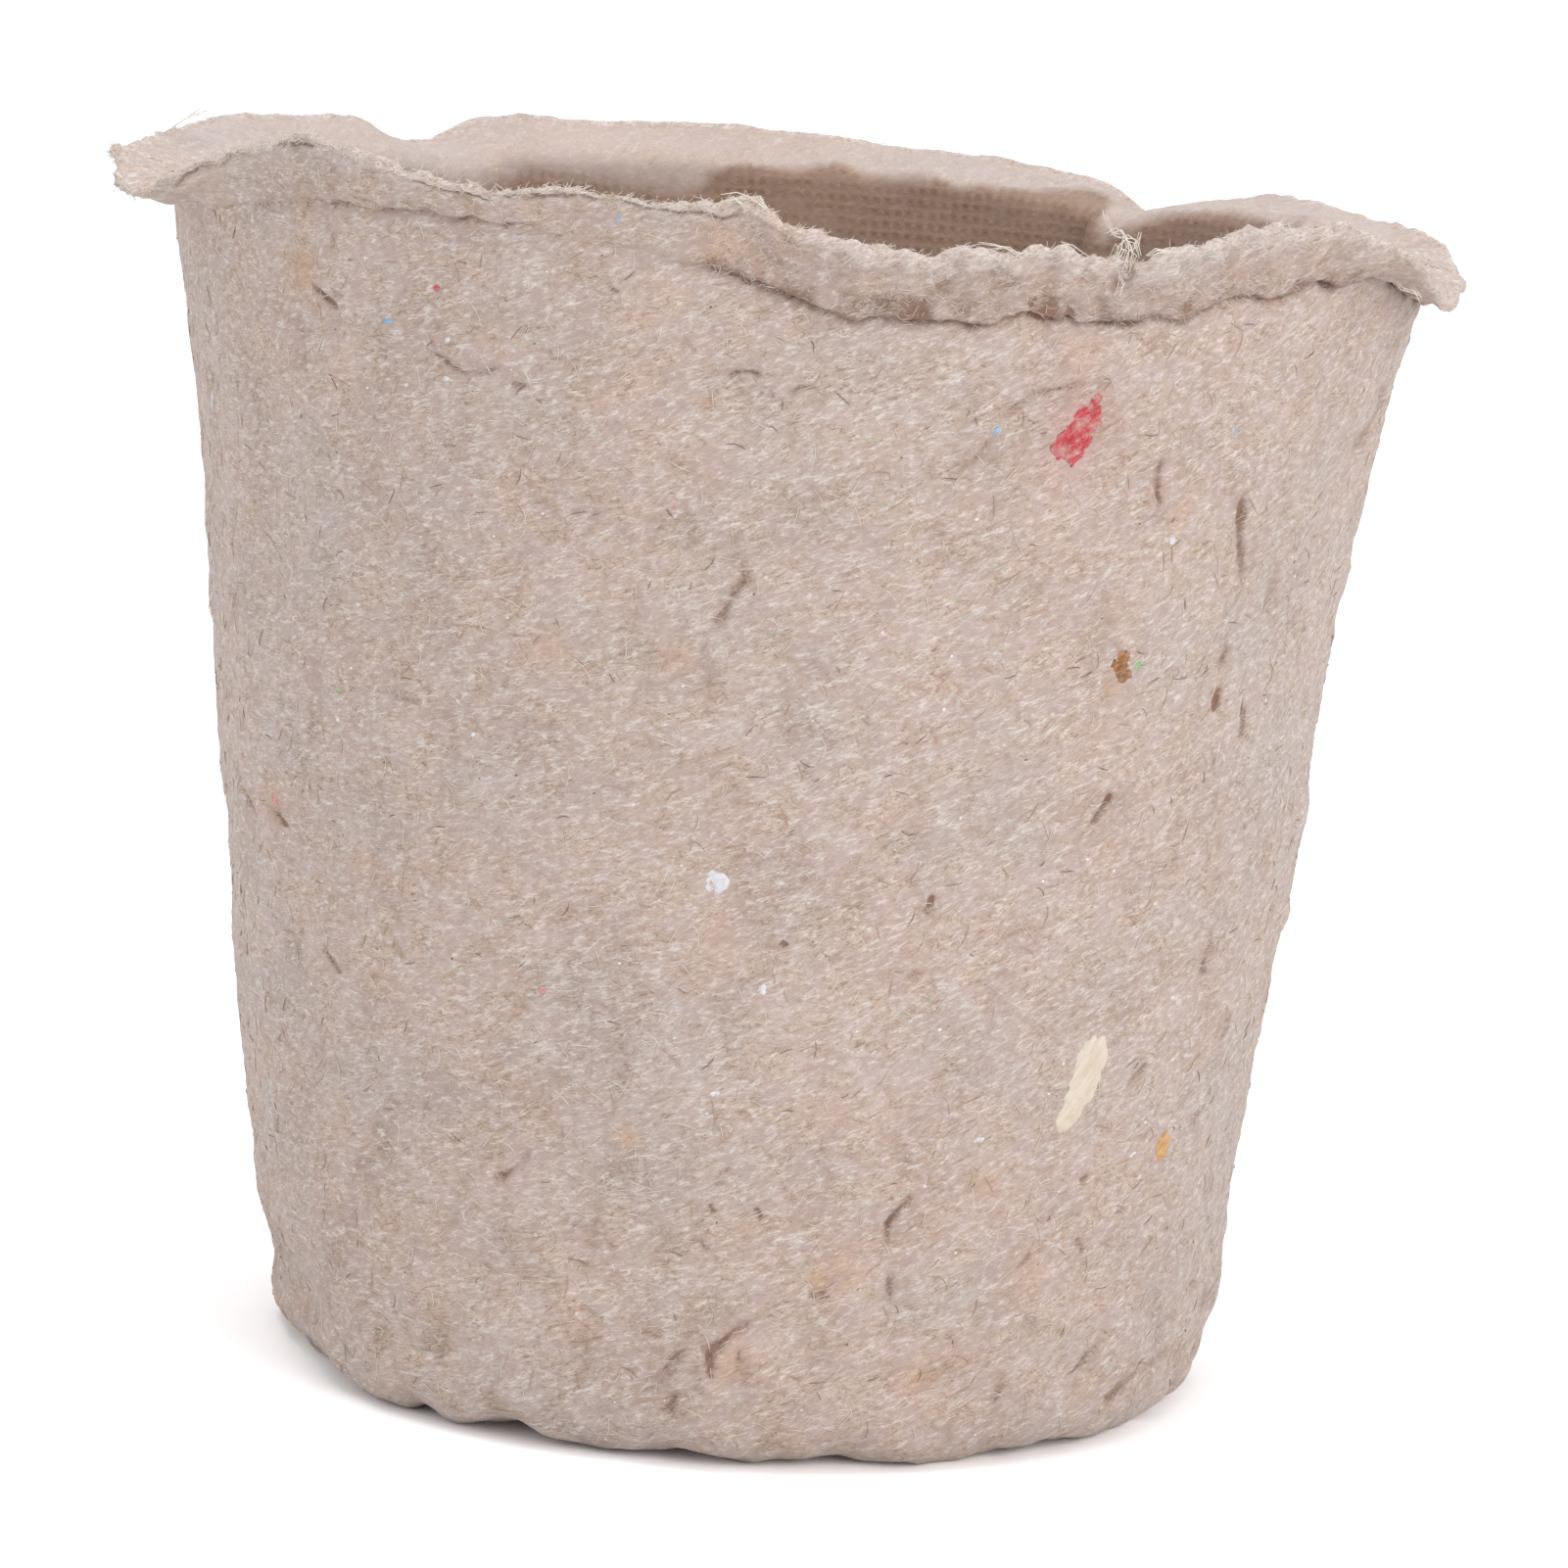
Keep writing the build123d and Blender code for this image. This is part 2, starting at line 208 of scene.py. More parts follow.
# Where the creases, cracks and slits of the wall show in the picture. Each is a path of pixels,
# with its half width and depth in mm, how far its upper or left side is raised, and how dark it is.
creases = [
    ([(317, 291), (330, 298), (342, 310), (347, 319)], 0.26, 0.55, 0.15, 1.0),
    ([(435, 358), (452, 366), (473, 380), (498, 379), (516, 372)], 0.24, 0.40, 0.12, 0.8),
    ([(519, 391), (540, 396)], 0.24, 0.30, 0.05, 0.6),
    ([(620, 293), (634, 300)], 0.22, 0.35, 0.05, 0.8),
    ([(300, 380), (312, 366), (330, 372)], 0.22, 0.25, 0.05, 0.5),
    ([(742, 388), (751, 380), (765, 378), (781, 383)], 0.20, 0.30, 0.10, 0.8),
    ([(785, 404), (791, 402)], 0.25, 0.40, 0, 0.8),
    ([(803, 405), (817, 395), (838, 397)], 0.20, 0.30, 0.05, 0.7),
    ([(1015, 430), (1037, 415), (1056, 403), (1079, 397), (1119, 391), (1141, 393)], 0.20, 0.35, 0.15, 0.7),
    ([(1014, 440), (1002, 462), (989, 474), (968, 477)], 0.22, 0.35, 0.05, 0.8),
    ([(956, 453), (918, 484), (880, 495)], 0.80, 0.30, 0, 0.25),
    ([(822, 491), (792, 510)], 0.70, 0.30, 0, 0.3),
    ([(849, 537), (826, 561), (803, 583)], 0.80, 0.25, 0, 0.25),
    ([(765, 575), (765, 583), (746, 610), (740, 625), (719, 648)], 0.28, 0.45, 0.12, 0.7),
    ([(891, 625), (910, 612)], 0.20, 0.25, 0, 0.5),
    ([(803, 606), (800, 640), (797, 683)], 0.70, 0.20, 0, 0.25),
    ([(655, 742), (665, 775), (700, 788), (725, 776), (745, 772)], 0.50, 0.22, 0.05, 0.3),
    ([(1190, 426), (1182, 438)], 0.22, 0.25, 0, 0.5),
    ([(1188, 465), (1184, 491), (1182, 520)], 0.24, 0.60, 0.10, 1.0),
    ([(1275, 502), (1273, 529), (1274, 552), (1276, 571), (1279, 598)], 0.26, 0.60, 0.12, 1.0),
    ([(1265, 644), (1262, 667), (1250, 686)], 0.28, 0.60, 0.10, 0.9),
    ([(1255, 701), (1250, 716), (1246, 732)], 0.28, 0.60, 0.10, 0.9),
    ([(1282, 720), (1279, 743), (1273, 762)], 0.26, 0.50, 0.05, 0.8),
    ([(1244, 758), (1241, 793)], 0.22, 0.35, 0.05, 0.5),
    ([(1136, 808), (1122, 829), (1112, 845)], 0.20, 0.50, 0.10, 1.0),
    ([(1113, 846), (1122, 873)], 0.20, 0.20, 0, 0.4),
    ([(956, 752), (955, 761)], 0.20, 0.30, 0, 0.8),
    ([(954, 913), (943, 936)], 0.26, 0.45, 0.05, 1.0),
    ([(797, 961), (804, 967)], 0.30, 0.40, 0, 1.0),
    ([(937, 987), (926, 1003), (910, 1010)], 0.28, 0.35, 0.05, 0.6),
    ([(1240, 939), (1237, 960), (1230, 988), (1233, 1001)], 0.28, 0.50, 0.10, 0.9),
    ([(1252, 1031), (1248, 1062)], 0.28, 0.40, 0, 0.7),
    ([(1173, 1083), (1160, 1097), (1150, 1111)], 0.20, 0.35, 0.10, 0.7),
    ([(1157, 978), (1136, 1017)], 0.20, 0.15, 0.05, 0.3),
    ([(926, 1215), (929, 1225), (914, 1240), (907, 1250), (906, 1272)], 0.26, 0.60, 0.15, 1.0),
    ([(910, 1297), (906, 1313), (910, 1328), (922, 1336)], 0.26, 0.40, 0.10, 0.8),
    ([(675, 1251), (678, 1265), (672, 1290)], 0.60, 0.50, 0.05, 0.4),
    ([(823, 1325), (846, 1319)], 0.22, 0.35, 0.05, 0.8),
    ([(1059, 1267), (1048, 1286), (1036, 1297)], 0.24, 0.30, 0.05, 0.6),
    ([(785, 1340), (766, 1351), (747, 1361), (734, 1372), (723, 1380), (714, 1371), (700, 1376),
      (686, 1389), (676, 1402), (673, 1418)], 0.30, 0.60, 0.30, 0.7),
    ([(723, 1380), (726, 1405)], 0.26, 0.50, 0.05, 0.9),
    ([(692, 1421), (681, 1447)], 0.32, 0.50, 0.10, 0.8),
    ([(756, 1370), (750, 1399)], 0.24, 0.35, 0.05, 0.7),
    ([(1027, 1402), (1018, 1421), (1015, 1437)], 0.28, 0.40, 0.05, 0.7),
    ([(1116, 1373), (1106, 1384), (1097, 1400)], 0.28, 0.45, 0.10, 0.8),
    ([(1170, 1384), (1154, 1403), (1141, 1419), (1122, 1435)], 0.40, 0.50, 0.10, 0.7),
    ([(1224, 1307), (1205, 1323)], 0.40, 0.40, 0.05, 0.5),
    ([(490, 1185), (516, 1175)], 0.30, 0.30, 0.05, 0.5),
    ([(540, 1171), (532, 1186), (521, 1196), (500, 1209)], 0.30, 0.50, 0.20, 0.7),
    ([(240, 773), (246, 800), (255, 822), (263, 838)], 0.50, 0.60, 0.30, 0.6),
    ([(272, 819), (284, 832), (293, 847)], 0.30, 0.55, 0.10, 1.0),
    ([(330, 968), (339, 981), (349, 997)], 0.28, 0.50, 0.05, 1.0),
    ([(370, 1025), (380, 1048)], 0.26, 0.25, 0, 0.5),
    ([(399, 964), (414, 974)], 0.24, 0.35, 0.05, 0.6),
    ([(402, 711), (430, 716)], 0.28, 0.40, 0.10, 0.8),
    ([(436, 700), (441, 708)], 0.22, 0.30, 0, 0.6),
    ([(649, 1018), (674, 1010)], 0.22, 0.30, 0.05, 0.6),
    ([(1102, 1207), (1113, 1199)], 0.26, 0.35, 0.10, 0.8),
    ([(1396, 356), (1420, 342), (1447, 325)], 0.50, 0.35, 0.10, 0.4),
    ([(1409, 388), (1408, 415), (1398, 445), (1390, 472)], 0.45, 0.50, 0.30, 0.6),
    ([(628, 1434), (638, 1438)], 0.28, 0.40, 0, 0.8),
    ([(1183, 1300), (1170, 1322), (1166, 1345)], 0.50, 0.30, 0.05, 0.3),
    ([(771, 1232), (778, 1246)], 0.24, 0.40, 0, 1.0),
    ([(723, 1229), (729, 1239)], 0.26, 0.40, 0, 1.0),
    ([(704, 1264), (714, 1269), (726, 1277)], 0.30, 0.30, 0.10, 0.6),
    ([(918, 1322), (928, 1334), (936, 1350)], 0.34, 0.35, 0.15, 0.5),
    ([(748, 1380), (761, 1392), (758, 1405), (744, 1412)], 0.34, 0.40, 0.15, 0.6),
    ([(700, 1392), (712, 1404), (708, 1420)], 0.34, 0.35, 0.15, 0.4),
    ([(800, 1385), (826, 1372), (850, 1376)], 0.50, 0.30, 0.10, 0.3),
    ([(880, 1405), (905, 1396), (930, 1400)], 0.45, 0.30, 0.10, 0.3),
    ([(1098, 1263), (1106, 1280)], 0.24, 0.35, 0.05, 0.7),
    ([(1150, 1222), (1146, 1240)], 0.24, 0.30, 0, 0.6),
    ([(1130, 1366), (1112, 1378), (1100, 1392)], 0.34, 0.45, 0.20, 0.6),
    ([(1198, 1376), (1180, 1386), (1160, 1404)], 0.38, 0.45, 0.20, 0.6),
    ([(1200, 1340), (1186, 1356), (1180, 1370)], 0.34, 0.40, 0.15, 0.5),
    ([(1060, 1330), (1050, 1350), (1052, 1368)], 0.34, 0.30, 0.10, 0.4),
    ([(960, 1360), (975, 1374), (972, 1392)], 0.34, 0.30, 0.10, 0.4),
    ([(590, 1330), (606, 1340), (612, 1360)], 0.40, 0.30, 0.10, 0.4),
    ([(520, 1400), (540, 1394), (560, 1402)], 0.40, 0.30, 0.10, 0.3),
    ([(440, 1340), (452, 1352), (456, 1372)], 0.40, 0.30, 0.10, 0.3),
    ([(326, 214), (338, 238), (342, 262)], 0.50, 0.35, 0.15, 0.5),
    ([(232, 262), (250, 300), (252, 330)], 0.60, 0.30, 0.10, 0.25),
    ([(596, 480), (604, 520), (600, 548)], 0.60, 0.25, 0.10, 0.25),
    ([(636, 598), (662, 640), (668, 690)], 0.70, 0.25, 0.10, 0.25),
    ([(880, 560), (906, 548), (930, 552)], 0.60, 0.22, 0.08, 0.2),
    ([(980, 640), (992, 672), (984, 700)], 0.60, 0.22, 0.08, 0.2),
    ([(460, 820), (480, 842), (506, 846)], 0.60, 0.22, 0.08, 0.2),
    ([(820, 1080), (842, 1098), (848, 1122)], 0.60, 0.22, 0.08, 0.2),
    ([(1200, 860), (1192, 900), (1180, 924)], 0.50, 0.25, 0.10, 0.3),
    ([(1322, 560), (1318, 600), (1310, 640)], 0.40, 0.35, 0.10, 0.4),
    ([(1296, 850), (1290, 880), (1288, 905)], 0.40, 0.35, 0.10, 0.5),
    ([(368, 1392), (378, 1404)], 0.45, 0.40, 0, 0.7),
]

# The same for the lip, whose face stands out from the wall by this much
lipStandsOut = 1.2
lipCreases = [
    ([(724, 274), (745, 275), (768, 283), (798, 297), (825, 302)], 0.26, 0.60, 0.20, 1.0),
    ([(1143, 262), (1146, 278), (1140, 290), (1128, 300)], 0.40, 0.90, 0.20, 1.0),
    ([(1090, 322), (1098, 314)], 0.45, 0.70, 0, 1.0),
    ([(1050, 308), (1060, 303)], 0.35, 0.50, 0, 1.0),
    ([(1326, 283), (1325, 291)], 0.28, 0.35, 0, 1.0),
    ([(1158, 300), (1190, 290), (1230, 287)], 0.35, 0.30, 0.10, 0.3),
    ([(206, 153), (226, 147), (252, 144), (298, 148), (337, 147)], 0.20, 0.50, 0.05, 0.9),
    ([(247, 155), (258, 161)], 0.40, 0.30, 0, 0.5),
    ([(430, 190), (480, 201), (556, 200), (640, 206)], 0.20, 0.35, 0.05, 0.7),
    ([(1391, 258), (1408, 266), (1425, 280), (1448, 292)], 0.35, 0.70, 0.20, 0.8),
]

# Broad swellings (above zero) and hollows of the wall: the pixel at their middle,
# their half widths across and up, and how far they stand out, in mm
swells = [
    ((1340, 620), 12.0, 10.0, -1.50),
    ((280, 1338), 8.0, 3.4, -1.40),
    ((1375, 440), 12.0, 5.0, 0.25),
    ((205, 490), 10.0, 11.0, -0.45),
    ((235, 900), 7.0, 9.0, -0.35),
    ((268, 1300), 11.0, 3.6, -1.50),
    ((260, 1190), 7.0, 3.0, -0.30),
    ((1328, 828), 3.0, 1.6, 0.50),
    ((1308, 930), 3.0, 1.5, 0.45),
    ((1235, 1310), 4.0, 3.0, 0.45),
    ((270, 1310), 3.0, 1.5, 0.45),
    ((770, 1400), 4.5, 2.6, 0.50),
    ((700, 1440), 3.5, 2.0, 0.45),
    ((640, 1390), 4.0, 3.5, -0.40),
    ((820, 640), 4.0, 3.0, 0.30),
    ((700, 720), 5.0, 3.5, 0.30),
    ((760, 500), 8.0, 2.5, 0.25),
    ((1302, 495), 1.8, 1.8, -0.30),
    ((1000, 520), 7.0, 4.0, 0.20),
    ((300, 620), 4.0, 9.0, -0.30),
    ((250, 560), 3.0, 9.0, 0.25),
    ((285, 900), 1.6, 5.0, 0.30),
]

# Places where the pulp is stained orange: the pixel at their middle and their radius in mm
stains = [((860, 1290), 1.4), ((1052, 1300), 1.3), ((748, 1386), 1.6), ((806, 232), 0.9), ((310, 275), 1.5),
          ((735, 245), 1.2), ((838, 1305), 1.2), ((1005, 1210), 1.0), ((690, 670), 1.2), ((560, 660), 1.2),
          ((1135, 700), 1.0), ((280, 822), 1.2), ((1210, 520), 0.9), ((940, 1405), 1.4), ((640, 1160), 1.0)]

blush = {"pixel": (1098, 444), "wide": 2.0, "tall": 2.9}

# Notches where the foot's edge is pulled up: their pixel, half width and height in mm
footNotches = [(305, 1375, 5.0, 0.8), (412, 1415, 2.2, 0.6), (512, 1445, 2.4, 0.9), (690, 1475, 2.4, 0.7),
               (868, 1480, 1.8, 0.6), (1090, 1460, 2.0, 0.4), (1205, 1400, 2.0, 0.6)]


def wallRadius(height):
    return pot["footRadius"] + (pot["mouthRadius"] - pot["footRadius"]) * height / pot["mouthHeight"]


def onWall(pixel, out=0.0):
    # the turn and the height at which a pixel's line of sight meets the plain wall,
    # or a cone that stands out from it
    place, sight = pixelRay(pixel)
    slope = math.tan(taper)
    startRadius = wallRadius(place.z) + out
    a = sight.x ** 2 + sight.y ** 2 - (slope * sight.z) ** 2
    b = place.x * sight.x + place.y * sight.y - slope * sight.z * startRadius
    c = place.x ** 2 + place.y ** 2 - startRadius ** 2
    reach = (-b - math.sqrt(max(b * b - a * c, 0))) / a
    point = place + sight * reach
    return math.degrees(math.atan2(point.y, point.x)) % 360, point.z


def turnFrom(turn, start):
    # how far round a turn is from a start, between -180 and 180
    return (turn - start + 180) % 360 - 180


def fromSpot(pixel, turn, height):
    # how far points lie round the wall and up it from the spot that a pixel shows, in mm
    spotTurn, spotHeight = onWall(pixel)
    return np.radians(turnFrom(turn, spotTurn)) * wallRadius(spotHeight), height - spotHeight


def ringAt(turn, radius):
    # points round a level ring
    return np.stack((np.cos(np.radians(turn)), np.sin(np.radians(turn)), turn * 0), 1) * radius


def roundTable(rows, column, turns):
    # a smooth closed curve through one column of a table of turns
    at = np.array([row[0] for row in rows], float)
    value = np.array([row[column] for row in rows], float)
    at = np.concatenate((at[-2:] - 360, at, at[:3] + 360))
    value = np.concatenate((value[-2:], value, value[:3]))
    slope = np.gradient(value, at)
    turns = np.asarray(turns) % 360
    i = np.clip(np.searchsorted(at, turns, side="right") - 1, 0, len(at) - 2)
    gap = at[i + 1] - at[i]
    t = (turns - at[i]) / gap
    return ((2 * t ** 3 - 3 * t ** 2 + 1) * value[i] + (t ** 3 - 2 * t ** 2 + t) * gap * slope[i]
            + (3 * t ** 2 - 2 * t ** 3) * value[i + 1] + (t ** 3 - t ** 2) * gap * slope[i + 1])


def smoothStep(x):
    x = np.clip(x, 0, 1)
    return x * x * (3 - 2 * x)


def wave(points, size, seed=0):
    # smooth noise between -1 and 1 whose lumps are about as wide as size
    places = points / size + np.array((seed * 17.3, seed * 5.1, seed * 9.7))
    return np.fromiter((noise.noise(place) for place in places.tolist()), float, len(places))


# The pulp's unevenness. Each kind has how wide its lumps are in mm, how much they amount to,
# and a seed of its own. The amount is in mm, or a share where a comment says so.
unevenness = {
    "creaseHeight": (3.0, 0.35, 8),
    "creaseHeightFine": (1.2, 0.22, 9),
    "lipLength": (3.0, 0.09, 1),         # a share
    "lipLengthFine": (1.1, 0.07, 2),     # a share
    "lipFray": (0.6, 0.16, 3),
    "lipLift": (7.0, 0.12, 4),           # radians
    "lipLiftFine": (2.5, 0.09, 5),       # radians
    "lipThickness": (4.0, 0.18, 6),      # a share
    "edgeThickness": (2.0, 0.16, 7),     # a share
    "broad": (15.0, 0.22, 11),
    "middling": (6.0, 0.15, 12),
    "lumps": (2.6, 1.0, 13),             # a share
    "crumbs": (1.2, 1.0, 14),            # a share
    "footFlakes": (3.4, 1.0, 29),        # a share
    "crackSidesFine": (0.45, 0.12, 15),
    "crackSides": (1.3, 0.16, 21),
    "crackFade": (1.6, 0.5, 22),         # a share
    "joint": (2.0, 0.45, 16),
    "jointFine": (0.8, 0.30, 23),
    "jointBreaks": (3.5, 1.3, 30),       # a share
    "shadeAndBrownPatches": (1.6, 1.0, 33),      # a share
    "jointTone": (1.8, 0.5, 24),         # a share
    "splitLine": (2.5, 0.20, 26),
    "splitBreaks": (5.0, 1.6, 27),       # a share
    "lipLumps": (2.4, 1.0, 17),          # a share
    "lipFlakes": (1.0, 1.0, 18),         # a share
    "tornEdge": (0.7, 0.18, 19),
    "tornEdgeFine": (0.4, 0.16, 20),
    "stainPatches": (4.5, 1.4, 31),      # a share
    "stainEdge": (0.9, 0.5, 32),         # a share
    "footEdge": (3.0, 1.0, 25),          # a share
}


def uneven(kind, points):
    size, amount, seed = unevenness[kind]
    return amount * wave(points, size, seed)


# The back of the lip and its right end were pressed smoother than its front
lipRough = {
    "mean": 0.6,
    "swing": 0.4,          # more at the front, and less at the back
    "smoothTurn": 345,
    "smoothHalfTurns": 22,
    "smoother": 0.65,
}


def roughAt(turn):
    # how rough the lip is
    rough = lipRough["mean"] - lipRough["swing"] * np.sin(np.radians(turn))
    beside = np.abs(turnFrom(turn, lipRough["smoothTurn"])) / lipRough["smoothHalfTurns"]
    return rough * (1 - lipRough["smoother"] * smoothStep(1.3 - beside))


def stretchEnds():
    # where each stretch of the skin starts and ends, along the skin
    ends, start = {}, 0.0
    for name, stretch in stretches.items():
        ends[name] = (start, start + stretch["length"])
        start = ends[name][1]
    return ends


def skinPlace(turn, walk):
    # the radius and height of the plain skin at a turn and at a distance along the skin
    ends = stretchEnds()
    crease = roundTable(rim, 1, turn)
    length = roundTable(rim, 3, turn)
    flare = roundTable(rim, 4, turn)
    around = ringAt(turn, pot["mouthRadius"])
    lift = np.radians(roundTable(rim, 2, turn))
    # the lip is torn, so its length wanders, least at the back
    rough = roughAt(turn)
    crease = crease + rough * (uneven("creaseHeight", around) + uneven("creaseHeightFine", around))
    length = length * (1 + rough * (uneven("lipLength", around) + uneven("lipLengthFine", around)))
    length = length + rough * uneven("lipFray", around)
    lift = lift + rough * (uneven("lipLift", around) + uneven("lipLiftFine", around))
    creaseRadius = wallRadius(crease) + flare
    thick = pot["lipThickness"] * (1 + uneven("lipThickness", around))
    edgeThick = thick * (pot["edgeThinShare"] + uneven("edgeThickness", around))
    radius = np.zeros_like(turn)
    height = np.zeros_like(turn)

    def corner(share, bottom, bend, inset):
        angle = cornerTurn * share
        middle = wallRadius(bottom + bend) - (bend + inset) / math.cos(taper)
        return middle + bend * np.sin(angle), bottom + bend * (1 - np.cos(angle))

    def wallAt(share, bottom, bend, inset):
        foot = bottom + bend * (1 - math.cos(cornerTurn))
        level = foot + share * (crease - foot)
        pull = np.clip((share - pot["flareShare"]) / (1 - pot["flareShare"]), 0, 1) ** pot["flareCurve"]
        return wallRadius(level) + flare * pull - inset, level

    def lipAt(along, above):
        return (creaseRadius + along * np.cos(lift) - above * np.sin(lift),
                crease + along * np.sin(lift) + above * np.cos(lift))

    def throatAt(share):
        lean = lift + share * (cornerTurn - lift)
        depth = thick + share * (pot["wall"] - thick)
        return creaseRadius - depth * np.sin(lean), crease + depth * np.cos(lean)

    innerRound = pot["footRound"] - pot["wall"]
    flat = corner(0, 0, pot["footRound"], 0)[0]
    innerFlat = corner(0, pot["floor"], innerRound, pot["wall"])[0]
    shapes = {
        "bottom": lambda s: (flat * s, s * 0),
        "foot": lambda s: corner(s, 0, pot["footRound"], 0),
        "wall": lambda s: wallAt(s, 0, pot["footRound"], 0),
        "under": lambda s: lipAt(pot["edgeShare"] * length * s, 0),
        "edge": lambda s: lipAt(length * (pot["edgeShare"] + (1 - pot["edgeShare"]) * np.sin(math.pi * s)),
                                edgeThick * (1 - np.cos(math.pi * s)) / 2),
        "top": lambda s: lipAt(pot["edgeShare"] * length * (1 - s), edgeThick + (thick - edgeThick) * s),
        "throat": throatAt,
        "inner": lambda s: wallAt(1 - s, pot["floor"], innerRound, pot["wall"]),
        "innerFoot": lambda s: corner(1 - s, pot["floor"], innerRound, pot["wall"]),
        "floor": lambda s: (innerFlat * (1 - s), s * 0 + pot["floor"]),
    }

    for name, shape in shapes.items():
        start, end = ends[name]
        here = (walk >= start - 1e-6) & (walk <= end + 1e-6)
        r, h = shape((walk - start) / (end - start))
        radius = np.where(here, r, radius)
        height = np.where(here, h, height)
    return radius, height


def pathDistance(turn, height, path):
    # the distance of each point from a path of turns and heights on the unrolled wall, how far
    # along the path that is, from 0 to 1, and the side of the path it lies on. What lies aslant
    # to the camera shows narrow in the picture, so there the path is drawn wider.
    path = np.array(path, float)
    slant = max(0.45, math.cos(math.radians(path[:, 0].mean() - 270)))
    middle = wallRadius(path[:, 1].mean()) * slant
    across = np.radians(turnFrom(turn, path[0, 0])) * middle
    pathAcross = np.radians(turnFrom(path[:, 0], path[0, 0])) * middle
    best = np.full(turn.shape, 1e9)
    side = np.zeros(turn.shape)
    along = np.zeros(turn.shape)
    steps = np.hypot(np.diff(pathAcross), np.diff(path[:, 1]))
    starts = np.concatenate(([0], np.cumsum(steps)))
    for i, step in enumerate(steps):
        dx, dz = (pathAcross[i + 1] - pathAcross[i]) / step, (path[i + 1, 1] - path[i, 1]) / step
        px, pz = across - pathAcross[i], height - path[i, 1]
        t = np.clip(px * dx + pz * dz, 0, step)
        distance = np.hypot(px - t * dx, pz - t * dz)
        near = distance < best
        best = np.where(near, distance, best)
        side = np.where(near, np.sign(dx * pz - dz * px), side)
        along = np.where(near, (starts[i] + t) / starts[-1], along)
    return best, along, side


def nearPath(turn, height, path, reach):
    # the points that may lie within reach of a path
    path = np.array(path, float)
    angles = np.radians(path[:, 0])
    middle = math.degrees(math.atan2(np.sin(angles).mean(), np.cos(angles).mean()))
    swing = np.abs(turnFrom(path[:, 0], middle)).max() + math.degrees(2.3 * reach / pot["footRadius"])
    close = np.abs(turnFrom(turn, middle)) < swing
    return np.nonzero(close & (height > path[:, 1].min() - reach) & (height < path[:, 1].max() + reach))[0]


# Cracks like those in the picture, for the sides that it doesn't show. Pairs are the least and
# the most of each, lengths and heights are in mm, and turns and leans are in degrees.
hidden = {
    "seed": 12,
    "count": 46,
    "turns": (12, 186),
    "heights": (5, 68),
    "leans": (90, 90, 60, 120, 30),
    "leanSwing": (-20, 20),
    "steps": (1, 3),
    "stepLength": (0.8, 2.0),
    "bend": (-35, 35),
    "halfWidth": (0.35, 0.6),
    "depth": (0.25, 0.55),
    "lift": (0, 0.15),
    "dark": (0.4, 0.9),
}


def hiddenCreases():
    rand = random.Random(hidden["seed"])
    found = []
    for n in range(hidden["count"]):
        turn, height = rand.uniform(*hidden["turns"]), rand.uniform(*hidden["heights"])
        lean = rand.choice(hidden["leans"]) + rand.uniform(*hidden["leanSwing"])
        path = [(turn, height)]
        for step in range(rand.randint(*hidden["steps"])):
            length = rand.uniform(*hidden["stepLength"])
            turn += math.degrees(length * math.cos(math.radians(lean)) / wallRadius(height))
            height += length * math.sin(math.radians(lean))
            lean += rand.uniform(*hidden["bend"])
            path.append((turn, height))
        sizes = [rand.uniform(*hidden[part]) for part in ("halfWidth", "depth", "lift", "dark")]
        found.append((path, *sizes))
    return found


def allCreases():
    seen = [([onWall(p) for p in path], *rest) for path, *rest in creases]
    seen += [([onWall(p, lipStandsOut) for p in path], *rest) for path, *rest in lipCreases]
    return seen + hiddenCreases()


# The ledge under the lip, where the lip's sheet laps over the wall. Each row has its turn and
# how far the lip stands out over the wall there, in mm, and how dark the joint is.
# the joint's dark is painted shade under the lip, with some brown
ledge = [
    (0, 0.2, 0.3), (40, 0.1, 0.2), (80, 0.1, 0.2), (130, 0.2, 0.3), (180, 0.1, 0.2), (200, 0, 0.05),
    (218, 0.02, 0.3), (235, 0.08, 0.55), (246, 0.08, 0.4), (255, 0.06, 0.15), (263, 0.25, 0.6),
    (270, 0.5, 1.0), (284, 0.6, 1.0), (290, 0.35, 0.75), (296, 0.45, 1.0), (304, 0.6, 1.0),
    (314, 0.5, 0.85), (326, 0.5, 0.9), (337, 0.7, 1.0), (348, 0.4, 0.6),
]
joint = {
    "lapGain": 1.6,            # the lip stands out by this many times the ledge's depth,
    "lapFade": 1.6,            # and that fades over so many mm of the lip
    "lapRise": 0.30,
    "whole": 0.55,             # the share of the lap that isn't broken up,
    "broken": 0.45,            # and the share that is
    "notchHalfWidth": 0.32,
    "notchDepth": 0.60,
    "shadeHalfWidth": 0.34,
    "shadeAndBrownOver": (0.95, 2.0),  # how much painted shade and brown the lip's underside gets over the joint, and over how many mm
    "shadeAndBrownPatches": (0.80, 5.0),
}

# The lip's sheet is split along its edge round this turn, and faintly elsewhere
lipSplit = {
    "turn": 238,
    "halfTurns": 36,
    "fadeTurns": 8,
    "elsewhere": 0.12,
    "below": 0.15,             # mm under the edge
    "halfWidth": 0.20,
    "depth": 0.25,
    # painted shade in the split
    "tone": 0.8,
}

# The front of the lip is the most tattered, round this turn
tatter = {
    "turn": 294,
    "halfTurns": 32,
    "lumps": 0.24,             # mm
    "flakes": (0.18, 0.18),    # mm, all along the lip, and as much more where it is tattered
    "pits": (0.3, 0.7),        # the painted shade in the pits between the flakes, in the same way
}

relief = {
    "lumps": (0.19, 0.05),     # mm, on the outside, and elsewhere
    "crumbs": (0.09, 0.03),
    "flakes": 0.50,            # near the foot
    "flakyBelow": 20,
    "flakyFade": 12,
    "bottomShare": 0.4,
    "insideShare": 0.75,       # the inside was pressed against the screen, so it is smoother
}


